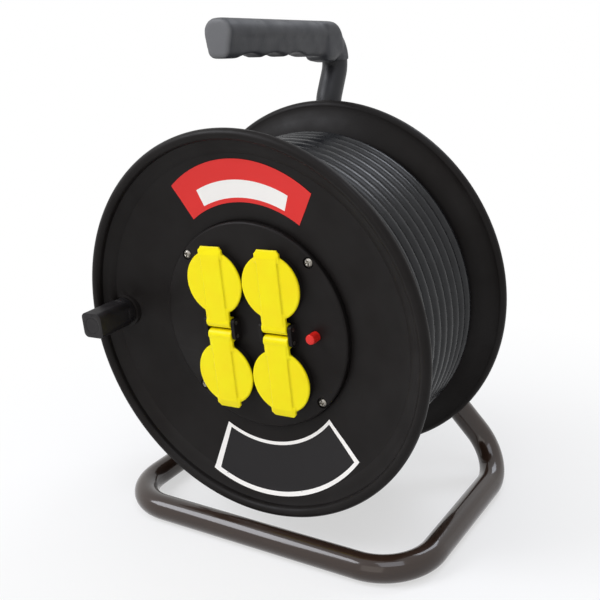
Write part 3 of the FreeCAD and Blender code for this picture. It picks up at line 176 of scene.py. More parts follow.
# Edges that turn less than this, in degrees, are facets of one flat face
FLAT = 0.1
# Edges that turn more than this, in degrees, show as edges: on CAD shapes, turned shapes and melted shapes
EDGE = 30.0
TURNED_EDGE = 40.0
MELTED_EDGE = 60.0
ROUND_SEGMENTS = 2
# Small rod that closes a slit
SEAL_RADIUS = 0.55 * MM
SEAL_LENGTH = 7.2 * MM
SEAL_SIDES = 12


def shown(name, mesh, material, body):
    """Put a mesh in the scene with its material, riding on a body."""
    piece = bpy.data.objects.new(name, mesh)
    bpy.context.scene.collection.objects.link(piece)
    mesh.materials.clear()
    mesh.materials.append(material)
    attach(piece, body)
    return piece


def paint(nodes, material):
    """Give CAD nodes a material."""
    for name in nodes:
        mesh = frame["nodes"][name].data
        mesh.materials.clear()
        mesh.materials.append(material)


def soften(node, body, material, width):
    """Stand a copy with rounded edges in place of a CAD node, their width in millimetres."""
    mesh = frame["nodes"][node].data.copy()
    mesh.name = node + "_soft"
    work = bmesh.new()
    work.from_mesh(mesh)
    bmesh.ops.remove_doubles(work, verts=work.verts, dist=DOUBLED)
    bmesh.ops.dissolve_limit(
        work, angle_limit=math.radians(FLAT), verts=work.verts, edges=work.edges, delimit={"NORMAL"})
    edges = [edge for edge in work.edges
             if len(edge.link_faces) == 2 and edge.calc_face_angle(0.0) > math.radians(EDGE)]
    bmesh.ops.bevel(
        work, geom=edges, offset=width * MM, offset_type="OFFSET", segments=ROUND_SEGMENTS, profile=0.5,
        affect="EDGES", clamp_overlap=True, harden_normals=False)
    bmesh.ops.triangulate(work, faces=[face for face in work.faces if len(face.verts) > 4])
    for face in work.faces:
        face.smooth = True
    work.to_mesh(mesh)
    work.free()
    mesh.set_sharp_from_angle(angle=math.radians(EDGE))
    piece = shown(node + "_soft", mesh, material, body)
    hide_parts(node)


def merged(node, seal=None):
    """Return a copy of a CAD node's mesh with its doubled points merged, and a small rod where it is placed."""
    mesh = frame["nodes"][node].data.copy()
    work = bmesh.new()
    work.from_mesh(mesh)
    bmesh.ops.remove_doubles(work, verts=work.verts, dist=DOUBLED)
    if seal:
        bmesh.ops.create_cone(
            work, cap_ends=True, segments=SEAL_SIDES, radius1=SEAL_RADIUS, radius2=SEAL_RADIUS,
            depth=SEAL_LENGTH, matrix=seal)
    work.to_mesh(mesh)
    work.free()
    return mesh


def settled(source, sharp):
    """Return the mesh that an object's modifiers give, smooth up to an angle, and remove the object."""
    result = bpy.data.meshes.new_from_object(source.evaluated_get(bpy.context.evaluated_depsgraph_get()))
    bpy.data.objects.remove(source)
    for face in result.polygons:
        face.use_smooth = True
    result.set_sharp_from_angle(angle=math.radians(sharp))
    return result


def melt(node, body, material, cell, rounds, seal=None, room=None):
    """Stand a copy whose edges flow into each other in place of a CAD node: it is made of cells, their size in
    millimetres, and smoothed in rounds. A small rod first closes a slit, and a room is cut free afterwards for
    what turns inside."""
    source = bpy.data.objects.new(node + "_source", merged(node, seal))
    bpy.context.scene.collection.objects.link(source)
    skin = source.modifiers.new("skin", "REMESH")
    skin.mode = "VOXEL"
    skin.voxel_size = cell * MM
    flow = source.modifiers.new("flow", "SMOOTH")
    flow.factor = 0.5
    flow.iterations = rounds
    if room:
        cutter = bpy.data.objects.new(node + "_room", room)
        bpy.context.scene.collection.objects.link(cutter)
        clear = source.modifiers.new("clear", "BOOLEAN")
        clear.operation = "DIFFERENCE"
        clear.solver = "EXACT"
        clear.object = cutter
    piece = shown(node + "_soft", settled(source, MELTED_EDGE), material, body)
    if room:
        bpy.data.objects.remove(cutter)
    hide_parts(node)


def turned(name, profile, steps, matrix):
    """Turn a profile of radii and distances in millimetres about its axis, Y, and place it."""
    work = bmesh.new()
    rings = []
    for radius, distance in profile:
        if not radius:
            rings.append([work.verts.new((0, distance * MM, 0))])
            continue
        ring = []
        for index in range(steps):
            turn = 2 * math.pi * index / steps
            place = (radius * MM * math.cos(turn), distance * MM, radius * MM * math.sin(turn))
            ring.append(work.verts.new(place))
        rings.append(ring)
    for lower, upper in zip(rings, rings[1:]):
        for index in range(steps):
            verts = []
            for ring, place in ((lower, index), (lower, index + 1), (upper, index + 1), (upper, index)):
                vert = ring[place % len(ring)]
                if vert not in verts:
                    verts.append(vert)
            if len(verts) > 2:
                work.faces.new(verts)
    bmesh.ops.remove_doubles(work, verts=work.verts, dist=DOUBLED)
    bmesh.ops.recalc_face_normals(work, faces=work.faces)
    for face in work.faces:
        face.smooth = True
    mesh = bpy.data.meshes.new(name)
    work.to_mesh(mesh)
    work.free()
    mesh.transform(matrix)
    mesh.set_sharp_from_angle(angle=math.radians(TURNED_EDGE))
    return mesh


# Materials

def add(tree, kind, inputs=None, **settings):
    """Add a node with its settings, and a value or a link for each named input."""
    made = tree.nodes.new(kind)
    for name, value in settings.items():
        setattr(made, name, value)
    for socket, value in (inputs or {}).items():
        if isinstance(value, bpy.types.NodeSocket):
            tree.links.new(value, made.inputs[socket])
        else:
            made.inputs[socket].default_value = value
    return made


def surface(name, shade, roughness, **sockets):
    """Start a material: a principled shader with a plain colour, to which patterns are then linked."""
    material = bpy.data.materials.new(name)
    material.use_nodes = True
    shader = material.node_tree.nodes["Principled BSDF"]
    shader.inputs["Base Color"].default_value = (*shade, 1)
    shader.inputs["Roughness"].default_value = roughness
    for socket, value in sockets.items():
        shader.inputs[socket.replace("_", " ")].default_value = value
    return material, material.node_tree, shader


def patch(tree, size, detail=2.0):
    """Return a noise of patches of a size in millimetres."""
    place = add(tree, "ShaderNodeTexCoord").outputs["Object"]
    noise = add(tree, "ShaderNodeTexNoise", {"Vector": place, "Scale": 1 / (size * MM), "Detail": detail})
    return noise.outputs["Fac"]


def vary(tree, socket, factor, low, high):
    """Let a shader's number wander between two values with a pattern."""
    spread = add(tree, "ShaderNodeMapRange", {
        "Value": factor, "From Min": 0.3, "From Max": 0.7, "To Min": low, "To Max": high})
    tree.links.new(spread.outputs["Result"], socket)


def blend(tree, socket, factor, first, second):
    """Send a shader a colour between two colours, and return it."""
    mix = add(tree, "ShaderNodeMix", {"Factor": factor}, data_type="RGBA")
    ends = [item for item in mix.inputs if item.type == "RGBA"]
    for end, shade in zip(ends, (first, second)):
        if isinstance(shade, bpy.types.NodeSocket):
            tree.links.new(shade, end)
        else:
            end.default_value = (*shade, 1)
    result = [item for item in mix.outputs if item.type == "RGBA"][0]
    tree.links.new(result, socket)
    return result


def tint(tree, socket, factor, first, second):
    """Let a shader's colour wander between two colours with a pattern, and return it."""
    spread = add(tree, "ShaderNodeMapRange", {"Value": factor, "From Min": 0.3, "From Max": 0.7})
    return blend(tree, socket, spread.outputs["Result"], first, second)


def painted_corner_shade(tree, reach):
    """Return where shade is painted: 1 in a piece's own inner corners, fading to 0 within a reach in
    millimetres.
    """
    near = add(tree, "ShaderNodeAmbientOcclusion", {"Distance": reach * MM}, only_local=True, samples=8)
    spread = add(tree, "ShaderNodeMapRange", {
        "Value": near.outputs["AO"], "From Min": 0.72, "From Max": 0.97, "To Min": 1.0, "To Max": 0.0})
    return spread.outputs["Result"]


def roughen(tree, shader, factor, height):
    """Raise the surface by a pattern, its height in millimetres."""
    bump = add(tree, "ShaderNodeBump", {"Height": factor, "Distance": height * MM, "Strength": 1.0})
    tree.links.new(bump.outputs["Normal"], shader.inputs["Normal"])


def lighter(shade, share):
    """Return a colour moved towards white by a share."""
    return [value + (1 - value) * share for value in shade]


# The grain of moulded plastic and rubber is too fine to show, so it is drawn as coarse as it needs to be to show

def moulded_abs(shade):
    """ABS from a mould with a light spark texture: satin and finely grained, with faint patches of dust."""
    material, tree, shader = surface("moulded_abs", shade, 0.4, IOR=1.53, Specular_IOR_Level=0.1)
    tint(tree, shader.inputs["Base Color"], patch(tree, 38.0, 4.0), shade, lighter(shade, 0.005))
    vary(tree, shader.inputs["Roughness"], patch(tree, 16.0, 5.0), 0.34, 0.5)
    roughen(tree, shader, patch(tree, 0.9), 0.02)
    return material


def outlet_abs(shade):
    """Matt heat-resistant plastic of the outlet wells."""
    material, tree, shader = surface("outlet_abs", shade, 0.6, IOR=1.55, Specular_IOR_Level=0.2)
    vary(tree, shader.inputs["Roughness"], patch(tree, 5.0), 0.52, 0.66)
    return material


def lid_polypropylene(shade):
    """Soft glossy polypropylene: bright, a little translucent, with faint flow marks and painted shade in its
    inner corners.
    """
    material, tree, shader = surface(
        "lid_polypropylene", shade, 0.36, IOR=1.49, Specular_IOR_Level=0.2, Subsurface_Weight=0.05)
    shader.inputs["Subsurface Radius"].default_value = (0.002, 0.0015, 0.0004)
    red, green, blue = shade
    unshaded = tint(tree, shader.inputs["Base Color"], patch(tree, 22.0), shade, [red, green * 0.93, blue])
    # Painted shade: the yellow darkens in the lid's own inner corners, such as along the foot of its raised
    # band.
    corner_shade = [red * 0.74, green * 0.72, blue]
    blend(tree, shader.inputs["Base Color"], painted_corner_shade(tree, 2.6), unshaded, corner_shade)
    vary(tree, shader.inputs["Roughness"], patch(tree, 6.0, 4.0), 0.3, 0.42)
    roughen(tree, shader, patch(tree, 1.2), 0.012)
    return material


def knob_nylon(shade):
    """Moulded nylon: finely grained, and rubbed smoother in places by the hand."""
    material, tree, shader = surface("knob_nylon", shade, 0.42, IOR=1.53, Specular_IOR_Level=0.22)
    vary(tree, shader.inputs["Roughness"], patch(tree, 8.0, 4.0), 0.36, 0.55)
    roughen(tree, shader, patch(tree, 0.8), 0.03)
    return material


def button_abs(shade):
    """ABS from a polished mould: glossy, with faint finger marks."""
    material, tree, shader = surface("button_abs", shade, 0.28, IOR=1.53, Specular_IOR_Level=0.3)
    vary(tree, shader.inputs["Roughness"], patch(tree, 2.0), 0.24, 0.34)
    return material


def grip_polypropylene(shade):
    """Matt polypropylene with a leather-like mould texture, paler on its front end."""
    material, tree, shader = surface("grip_polypropylene", shade, 0.55, IOR=1.49)
    vary(tree, shader.inputs["Roughness"], patch(tree, 10.0, 4.0), 0.46, 0.62)
    place = add(tree, "ShaderNodeTexCoord").outputs["Object"]
    inward = add(tree, "ShaderNodeVectorMath", {0: place, 1: GRIP_START}, operation="SUBTRACT")
    along = add(tree, "ShaderNodeVectorMath", {0: inward.outputs[0], 1: GRIP_AXIS}, operation="DOT_PRODUCT")
    # The colour turns paler within about 2 mm of the grip's front end.
    end = add(tree, "ShaderNodeMapRange", {
        "Value": along.outputs["Value"], "From Min": 2.2 * MM, "From Max": 0.6 * MM})
    blend(tree, shader.inputs["Base Color"], end.outputs["Result"], shade, lighter(shade, 0.075))
    cells = add(tree, "ShaderNodeTexVoronoi", {"Vector": place, "Scale": 1 / (1.1 * MM)}, feature="SMOOTH_F1")
    roughen(tree, shader, cells.outputs["Distance"], 0.05)
    return material


def enamel_with_painted_reflection(shade):
    """Baked black enamel on steel tube, its colour browned by a painted reflection of a warm floor: a hard gloss
    over a slightly wavy surface.
    """
    material, tree, shader = surface(
        "enamel_with_painted_reflection", shade, 0.35, IOR=1.5, Specular_IOR_Level=0.1, Coat_Weight=0.9, Coat_Roughness=0.1)
    vary(tree, shader.inputs["Roughness"], patch(tree, 14.0, 5.0), 0.3, 0.45)
    roughen(tree, shader, patch(tree, 3.5), 0.015)
    return material


def satin_paint(shade):
    """Satin black paint on the upright: dark, with one soft broad highlight."""
    material, tree, shader = surface("satin_paint", shade, 0.45, IOR=1.5, Specular_IOR_Level=0.3)
    vary(tree, shader.inputs["Roughness"], patch(tree, 14.0, 5.0), 0.4, 0.52)
    roughen(tree, shader, patch(tree, 1.5), 0.01)
    return material


def zinc_steel():
    """Zinc-plated steel: bright grey with a faint blotchy sheen."""
    material, tree, shader = surface("zinc_steel", linear("#918D86"), 0.4, Metallic=1.0)
    tint(tree, shader.inputs["Base Color"], patch(tree, 4.0, 4.0), linear("#918D86"), linear("#A39E94"))
    vary(tree, shader.inputs["Roughness"], patch(tree, 2.0, 4.0), 0.32, 0.5)
    return material


def contact_brass():
    """Bare brass with light handling marks."""
    material, tree, shader = surface("contact_brass", linear("#C9A658"), 0.28, Metallic=1.0)
    vary(tree, shader.inputs["Roughness"], patch(tree, 2.0, 4.0), 0.22, 0.4)
    return material


def rubber_jacket(shade):
    """Extruded rubber jacket: satin black with a trace of talc on a faintly uneven skin."""
    material, tree, shader = surface("rubber_jacket", shade, 0.26, IOR=1.52, Specular_IOR_Level=0.3)
    tint(tree, shader.inputs["Base Color"], patch(tree, 11.0, 5.0), shade, lighter(shade, 0.008))
    vary(tree, shader.inputs["Roughness"], patch(tree, 7.0, 5.0), 0.2, 0.34)
    roughen(tree, shader, patch(tree, 1.6), 0.03)
    return material


def plug_rubber(shade):
    """Moulded rubber of the plug, matt with a fine grain."""
    material, tree, shader = surface("plug_rubber", shade, 0.58, IOR=1.52, Specular_IOR_Level=0.3)
    vary(tree, shader.inputs["Roughness"], patch(tree, 5.0), 0.5, 0.64)
    roughen(tree, shader, patch(tree, 0.7), 0.04)
    return material


def share_between(tree, along, low, high):
    """Return 1 where a coordinate lies between two values."""
    above = add(tree, "ShaderNodeMath", {0: along, 1: low}, operation="GREATER_THAN").outputs[0]
    below = add(tree, "ShaderNodeMath", {0: along, 1: high}, operation="LESS_THAN").outputs[0]
    return add(tree, "ShaderNodeMath", {0: above, 1: below}, operation="MULTIPLY").outputs[0]


def label_print(name, ground, light, across, up, inside):
    """Glossy printed label: a ground with a light field where its own UV lies inside, or outside, a window."""
    material, tree, shader = surface(name, ground, 0.35, IOR=1.5, Specular_IOR_Level=0.2)
    place = add(tree, "ShaderNodeTexCoord").outputs["UV"]
    split = add(tree, "ShaderNodeSeparateXYZ", {"Vector": place})
    wide = share_between(tree, split.outputs["X"], *across)
    high = share_between(tree, split.outputs["Y"], *up)
    window = add(tree, "ShaderNodeMath", {0: wide, 1: high}, operation="MULTIPLY").outputs[0]
    first, second = (ground, light) if inside else (light, ground)
    blend(tree, shader.inputs["Base Color"], window, first, second)
    vary(tree, shader.inputs["Roughness"], patch(tree, 9.0, 4.0), 0.3, 0.42)
    return material


# Drum

PANEL_ROUND = 0.5
# Middle of each flange's round edge, and its radii: a hair proud of the flange's own facets
RIMS = {"front_rim": 0.0, "rear_rim": 131.0}
RIM_MIDDLE = 141.0
RIM_RADIUS = 4.03
RIM_POINTS = 28
RIM_STEPS = 288


def rim_profile(middle):
    """Return the section of a flange's round edge."""
    turns = [2 * math.pi * index / RIM_POINTS for index in range(RIM_POINTS + 1)]
    return [(RIM_MIDDLE + RIM_RADIUS * math.cos(turn), middle + RIM_RADIUS * math.sin(turn)) for turn in turns]


class REEL_OT_drum(bpy.types.Operator):
    """Finish the moulded drum, its panel and the parts behind it"""

    bl_idname = "reel.drum"
    bl_label = "Finish the drum"

    def execute(self, context):
        colours = context.scene.reel_colours
        plastic = moulded_abs(colours.drum)
        for node in ("socket_panel", "front_flange", "rear_flange"):
            soften(node, DRUM, plastic, PANEL_ROUND)
        for name, middle in RIMS.items():
            shown(name, turned(name, rim_profile(middle), RIM_STEPS, drum_matrix()), plastic, DRUM)
        paint(["drum_core", "socket_housing"], plastic)
        dark = outlet_abs(colours.insert)
        paint(["socket_insert_%d" % index for index in range(1, 5)] + ["thermal_cutout", "cord_gland"], dark)
        brass = contact_brass()
        paint(["contact_sleeves", "live_busbar", "neutral_busbar", "earth_strap", "earth_clips"], brass)
        paint(["lid_pins", "lid_springs", "knob_pin", "housing_screws"], zinc_steel())
        return {"FINISHED"}


# Lids, knob and button

LID_CELL = 0.45
LID_ROUNDS = 5
# How far the closing rod lies from the hinge's middle, both forward and sideways
SEAL_OUT = 2.65 * MM
# Room round a hinge's pin, and round the spring at its middle, as radii and distances
HINGE_ROOM = [
    (0.0, -16.0), (1.56, -16.0), (1.56, -2.85), (3.05, -2.85),
    (3.05, 2.85), (1.56, 2.85), (1.56, 16.0), (0.0, 16.0)]
HINGE_STEPS = 64


def hinge(name):
    """Return the middle and the axis of a lid's hinge."""
    joint = next(item for item in frame["joints"] if item["name"] == name)
    return Vector(joint["pos_m"]), Vector(joint["axis"])


def hinge_corner(name):
    """Return where a lid's spring notch just opens its hinge barrel, as the place of a rod along the hinge."""
    middle, axis = hinge(name)
    back = Vector((0, 1, 0))
    corner = middle - (back + axis.cross(back)) * SEAL_OUT
    return Matrix.Translation(corner) @ axis.to_track_quat("Z", "Y").to_matrix().to_4x4()


def hinge_room(name):
    """Return the room that a lid leaves for its pin and its spring."""
    middle, axis = hinge(name)
    place = Matrix.Translation(middle) @ axis.to_track_quat("Y", "Z").to_matrix().to_4x4()
    return turned(name + "_room", HINGE_ROOM, HINGE_STEPS, place)


class REEL_OT_lids(bpy.types.Operator):
    """Finish the four outlet lids, the crank knob and the reset button"""

    bl_idname = "reel.lids"
    bl_label = "Finish the lids, knob and button"

    def execute(self, context):
        colours = context.scene.reel_colours
        yellow = lid_polypropylene(colours.lid)
        for index in range(1, 5):
            lid, joint = "lid_%d" % index, "lid_%d_hinge" % index
            melt(lid, lid + "_body", yellow, LID_CELL, LID_ROUNDS, hinge_corner(joint), hinge_room(joint))
        black = knob_nylon(colours.knob)
        soften("crank_knob", "knob", black, 0.8)
        paint(["knob_cap"], black)
        soften("reset_button", "button", button_abs(colours.button), 0.3)
        return {"FINISHED"}


# Stand

GRIP_CELL = 1.1
GRIP_ROUNDS = 18


class REEL_OT_stand(bpy.types.Operator):
    """Finish the tube stand, its grip and the axle"""

    bl_idname = "reel.stand"
    bl_label = "Finish the stand"

    def execute(self, context):
        colours = context.scene.reel_colours
        enamel = enamel_with_painted_reflection(colours.tube)
        paint(["base_tube"], enamel)
        paint(["handle_tube"], satin_paint(colours.upright))
        soften("hub_plate", STAND, enamel, 0.6)
        melt("hand_grip", STAND, grip_polypropylene(colours.grip), GRIP_CELL, GRIP_ROUNDS)
        paint(["axle", "rear_washer", "front_washer", "axle_nut"], zinc_steel())
        return {"FINISHED"}


# The cord, from its gland over four full layers to the plug

# Straight run inside the barrel: its way round the axle, its depth, and its points out from the axle and along
LEAD_TURN = math.radians(130.0)
LEAD_DEPTH = 68.5
LEAD_POINTS = [(60.0, -4.0), (60.0, 16.0), (60.0, 38.0), (52.0, 62.0)]
WOUND_START = math.radians(54.5)
WINDING_LAYERS = [
    # turns, radius or first and last radius, first and last depth
    (4.15, 90.0, 68.5, 109.2),
    (0.25, (90.0, 100.0), 109.2, 85.7),
    (0.25, (100.0, 90.0), 85.7, 62.3),
    (4.0014, 90.0, 62.3, 23.1),
    (0.5, (90.0, 100.0), 23.1, 21.4),
    (9.0, 100.0, 21.4, 109.6),
    (0.5, (100.0, 110.0), 109.6, 111.4),
    (9.5, 110.0, 111.4, 19.1),
    (0.25, 110.0, 19.1, 19.1),
    (0.25, (110.0, 120.0), 19.1, 21.7125),
    (8.75, 120.0, 21.7125, 113.15),
]
# Tail: its points from the last turn past a corner, and how far its two last ones lie before the plug
TAIL_POINTS = [(-10.0, 113.15, -120.5), (-52.0, 113.15, -120.0), (-108.0, 98.575, -112.0)]
TAIL_ENDS = (67.0, 25.0)
# Plug: its line lies over the winding by its own radius and a gap, on one side of the drum
PLUG_OUT = 125.0 + 0.3 + 18.0
PLUG_TURN = math.radians(186.0)
PLUG_DEPTH = 84.0
PLUG_STEPS = 48
# The plug's boot as rings, then its body: radii and distances
BOOT_RINGS = 6
RING_PITCH = 3.4
RING_GROWTH = 0.25
PLUG_BODY = [
    (7.0, -3.0), (8.5, 0.5), (12.0, 3.0), (15.0, 7.0), (17.2, 12.0), (18.0, 15.0), (18.0, 34.8),
    (17.6, 35.6), (16.8, 36.0), (0.0, 36.0)]


def lead_place(out, along):
    """Return a point of the cord's straight run inside the barrel."""
    x = out * math.cos(LEAD_TURN) + along * math.sin(LEAD_TURN)
    z = out * math.sin(LEAD_TURN) - along * math.cos(LEAD_TURN)
    return on_drum(x, LEAD_DEPTH, z)


def cord_route(points_per_turn):
    """Return the cord's control points, from the gland to the plug's boot. They lie outside the turns, because
    the curve runs inside its control points."""
    route = [lead_place(*point) for point in LEAD_POINTS]
    bulge = 1 / (0.75 + 0.25 * math.cos(2 * math.pi / points_per_turn))
    turned_so_far = WOUND_START
    for turns, radius, near, far in WINDING_LAYERS:
        steps = round(turns * points_per_turn)
        low, high = radius if isinstance(radius, tuple) else (radius, radius)
        for index in range(steps):
            share = index / steps
            rise = share * share * (3 - 2 * share)
            out = (low + (high - low) * rise) * bulge
            turn = turned_so_far - 2 * math.pi * turns * share
            route.append(on_drum(out * math.cos(turn), near + (far - near) * share, out * math.sin(turn)))
        turned_so_far -= 2 * math.pi * turns
    route += [on_drum(*point) for point in TAIL_POINTS]
    for before in TAIL_ENDS:
        x = PLUG_OUT * math.cos(PLUG_TURN) - math.sin(PLUG_TURN) * before
        z = PLUG_OUT * math.sin(PLUG_TURN) + math.cos(PLUG_TURN) * before
        route.append(on_drum(x, PLUG_DEPTH, z))
    return route


class REEL_OT_cord(bpy.types.Operator):
    """Wind the cord on the drum and put the plug on its end"""

    bl_idname = "reel.cord"
    bl_label = "Wind the cord"

    def execute(self, context):
        sizes = context.scene.reel_cord
        colours = context.scene.reel_colours
        route = cord_route(sizes.points_per_turn)
        curve = bpy.data.curves.new("cord", "CURVE")
        curve.dimensions = "3D"
        spline = curve.splines.new("NURBS")
        spline.points.add(len(route) - 1)
        for point, place in zip(spline.points, route):
            point.co = (*place, 1)
        spline.order_u = 3
        spline.use_endpoint_u = True
        spline.resolution_u = 5
        curve.bevel_depth = sizes.diameter / 2
        curve.bevel_resolution = 4
        curve.use_fill_caps = True
        curve.materials.append(rubber_jacket(colours.cord))
        piece = bpy.data.objects.new("cord", curve)
        context.scene.collection.objects.link(piece)
        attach(piece, DRUM)
        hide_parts("cord_lead", "cord_core", "cord_winding", "cord_tail")
        plug = self.make_plug(colours)
        return {"FINISHED"}

    def make_plug(self, colours):
        """Make the plug: a round moulded body and a boot with strain-relief rings."""
        profile = [(0.0, -25.0), (4.9, -25.0)]
        for ring in range(BOOT_RINGS):
            low = -24.0 + ring * RING_PITCH
            swell = 5.6 + ring * RING_GROWTH
            profile += [(swell, low), (swell, low + 2.0), (swell - 0.9, low + 2.3), (swell - 0.9, low + 3.1)]
        upward = Vector((math.sin(PLUG_TURN), 0, -math.cos(PLUG_TURN)))
        sideways = Vector((0, 1, 0))
        facing = sideways.cross(upward)
        local = Matrix((sideways, upward, facing)).transposed().to_4x4()
        foot = (PLUG_OUT * math.cos(PLUG_TURN), PLUG_DEPTH, PLUG_OUT * math.sin(PLUG_TURN))
        local.translation = Vector(foot) * MM
        mesh = turned("plug_body", profile + PLUG_BODY, PLUG_STEPS, drum_matrix() @ local)
        plug = shown("plug_body", mesh, plug_rubber(colours.cord), DRUM)
        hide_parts("plug")
        paint(["plug_pins"], contact_brass())
        return plug


# Labels: each side as its angles in degrees at the inner and the outer edge, each edge as the centre and radius
# of its circle, and the window in the print as shares of the label

UPPER_LABEL = {
    "first": (121.8, 120.6), "last": (60.6, 60.1), "inner": (12.9, 78.5), "outer": (31.6, 91.5)}
UPPER_WINDOW = {"across": (0.155, 0.86), "up": (0.105, 0.52)}
LOWER_LABEL = {
    "first": (-112.3, -110.7), "last": (-48.3, -46.4), "inner": (-19.9, 71.6), "outer": (-28.9, 102.7)}
LOWER_WINDOW = {"across": (0.035, 0.972), "up": (0.062, 0.923)}
LABEL_COLUMNS = 48
LABEL_ROWS = 12


def on_circle(centre, radius, direction):
    """Return where a ray from the axle at an angle meets a circle about a centre on the Z axis."""
    x, z = math.cos(direction), math.sin(direction)
    along = centre * z
    return along + math.sqrt(along * along - centre * centre + radius * radius)


def label_mesh(name, proud, first, last, inner, outer):
    """Make a label that follows the flange's face, proud of it, with its own UV."""
    work = bmesh.new()
    layer = work.loops.layers.uv.new("label")
    grid = []
    for column in range(LABEL_COLUMNS + 1):
        share = column / LABEL_COLUMNS
        start, stop = [math.radians(before + (after - before) * share) for before, after in zip(first, last)]
        low = on_circle(*inner, start)
        high = on_circle(*outer, stop)
        line = []
        for row in range(LABEL_ROWS + 1):
            out = low + (high - low) * row / LABEL_ROWS
            direction = start + (stop - start) * row / LABEL_ROWS
            depth = dish_depth(out) - proud
            line.append(work.verts.new(
                (out * math.cos(direction) * MM, depth * MM, out * math.sin(direction) * MM)))
        grid.append(line)
    for column in range(LABEL_COLUMNS):
        for row in range(LABEL_ROWS):
            square = [(column, row), (column + 1, row), (column + 1, row + 1), (column, row + 1)]
            face = work.faces.new([grid[across][up] for across, up in square])
            for loop, (across, up) in zip(face.loops, square):
                loop[layer].uv = (across / LABEL_COLUMNS, up / LABEL_ROWS)
            face.smooth = True
    mesh = bpy.data.meshes.new(name)
    work.to_mesh(mesh)
    work.free()
    mesh.transform(Matrix.Translation((0, FRONT_RIM, AXLE_HEIGHT)))
    return mesh


class REEL_OT_labels(bpy.types.Operator):
    """Stick the two bare labels on the front flange"""

    bl_idname = "reel.labels"
    bl_label = "Stick the labels"

    def execute(self, context):
        colours = context.scene.reel_colours
        proud = context.scene.reel_labels.proud / MM
        white = colours.label_white
        red = label_print("upper_label_print", colours.label_red, white, inside=True, **UPPER_WINDOW)
        shown("upper_label", label_mesh("upper_label", proud, **UPPER_LABEL), red, DRUM)
        dark = label_print("lower_label_print", colours.label_dark, white, inside=False, **LOWER_WINDOW)
        shown("lower_label", label_mesh("lower_label", proud, **LOWER_LABEL), dark, DRUM)
        return {"FINISHED"}


# Screws: Geometry Nodes cut a cross into each head

SCREW_ACROSS = 52.4
SCREW_UP = 51.5
# Depth at which the crowns of each set's heads lie
SCREW_CROWNS = {"panel_screws": 10.2, "drum_screws": 118.1}
CROSS = {"Slot length": 3.9 * MM, "Slot width": 1.0 * MM, "Slot depth": 1.3 * MM}
# How far a screw may stand turned, in radians, and the seed of that
MOST_TURN = 3.1
TURN_SEED = 7


def cross_tree():
    """Build the tree that cuts a cross into a mesh at each point of another object, each turned its own way."""
    tree = bpy.data.node_groups.new("cut_crosses", "GeometryNodeTree")
    interface = tree.interface
    interface.new_socket("Geometry", in_out="INPUT", socket_type="NodeSocketGeometry")
    interface.new_socket("Places", in_out="INPUT", socket_type="NodeSocketObject")
    interface.new_socket("Material", in_out="INPUT", socket_type="NodeSocketMaterial")
    for name in CROSS:
        interface.new_socket(name, in_out="INPUT", socket_type="NodeSocketFloat")
    interface.new_socket("Geometry", in_out="OUTPUT", socket_type="NodeSocketGeometry")
    given = add(tree, "NodeGroupInput")
    places = add(tree, "GeometryNodeObjectInfo", {"Object": given.outputs["Places"]})
    through = add(tree, "ShaderNodeMath", {0: given.outputs["Slot depth"], 1: 2.0}, operation="MULTIPLY")
    slots = add(tree, "GeometryNodeJoinGeometry")
    for across, up in (("Slot length", "Slot width"), ("Slot width", "Slot length")):
        size = add(tree, "ShaderNodeCombineXYZ", {
            "X": given.outputs[across], "Y": given.outputs[up], "Z": through.outputs[0]})
        slot = add(tree, "GeometryNodeMeshCube", {"Size": size.outputs[0]})
        tree.links.new(slot.outputs["Mesh"], slots.inputs["Geometry"])
    facing = add(tree, "ShaderNodeCombineXYZ", {"X": math.pi / 2})
    placed = add(tree, "GeometryNodeInstanceOnPoints", {
        "Points": places.outputs["Geometry"], "Instance": slots.outputs["Geometry"],
        "Rotation": facing.outputs[0]})
    turn = add(tree, "FunctionNodeRandomValue", {2: 0.0, 3: MOST_TURN, "Seed": TURN_SEED}, data_type="FLOAT")
    spin = add(tree, "ShaderNodeCombineXYZ", {"Z": turn.outputs[1]})
    spun = add(tree, "GeometryNodeRotateInstances", {
        "Instances": placed.outputs["Instances"], "Rotation": spin.outputs[0], "Local Space": True})
    real = add(tree, "GeometryNodeRealizeInstances", {"Geometry": spun.outputs["Instances"]})
    cut = add(tree, "GeometryNodeMeshBoolean", {
        "Mesh 1": given.outputs["Geometry"], "Mesh 2": real.outputs["Geometry"], "Self Intersection": True},
        operation="DIFFERENCE", solver="EXACT")
    finished = add(tree, "GeometryNodeSetMaterial", {
        "Geometry": cut.outputs["Mesh"], "Material": given.outputs["Material"]})
    add(tree, "NodeGroupOutput", {"Geometry": finished.outputs["Geometry"]})
    return tree


class REEL_OT_screws(bpy.types.Operator):
    """Cut the crosses into the screw heads of the panel and of the rear flange"""

    bl_idname = "reel.screws"
    bl_label = "Cut the screws' crosses"

    def execute(self, context):
        steel = zinc_steel()
        tree = cross_tree()
        for node, crown in SCREW_CROWNS.items():
            points = [on_drum(side * SCREW_ACROSS, crown, up * SCREW_UP) for side in (-1, 1) for up in (-1, 1)]
            places = bpy.data.meshes.new(node + "_places")
            places.from_pydata(points, [], [])
            holder = bpy.data.objects.new(node + "_places", places)
            source = bpy.data.objects.new(node + "_source", merged(node))
            for item in (holder, source):
                context.scene.collection.objects.link(item)
            modifier = source.modifiers.new("cut_crosses", "NODES")
            modifier.node_group = tree
            given = {"Places": holder, "Material": steel, **CROSS}
            for item in tree.interface.items_tree:
                if item.in_out == "INPUT" and item.name in given:
                    modifier[item.identifier] = given[item.name]
            plain = len(source.data.vertices)
            result = settled(source, EDGE)
            bpy.data.objects.remove(holder)
            if len(result.vertices) <= plain:
                raise RuntimeError("the crosses of %s weren't cut" % node)
            piece = shown(node + "_crossed", result, steel, DRUM)
            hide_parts(node)
        return {"FINISHED"}


# Stage

FLOOR_RADIUS = 9.0
FLOOR_SIDES = 96
SENSOR_WIDTH = 36.0
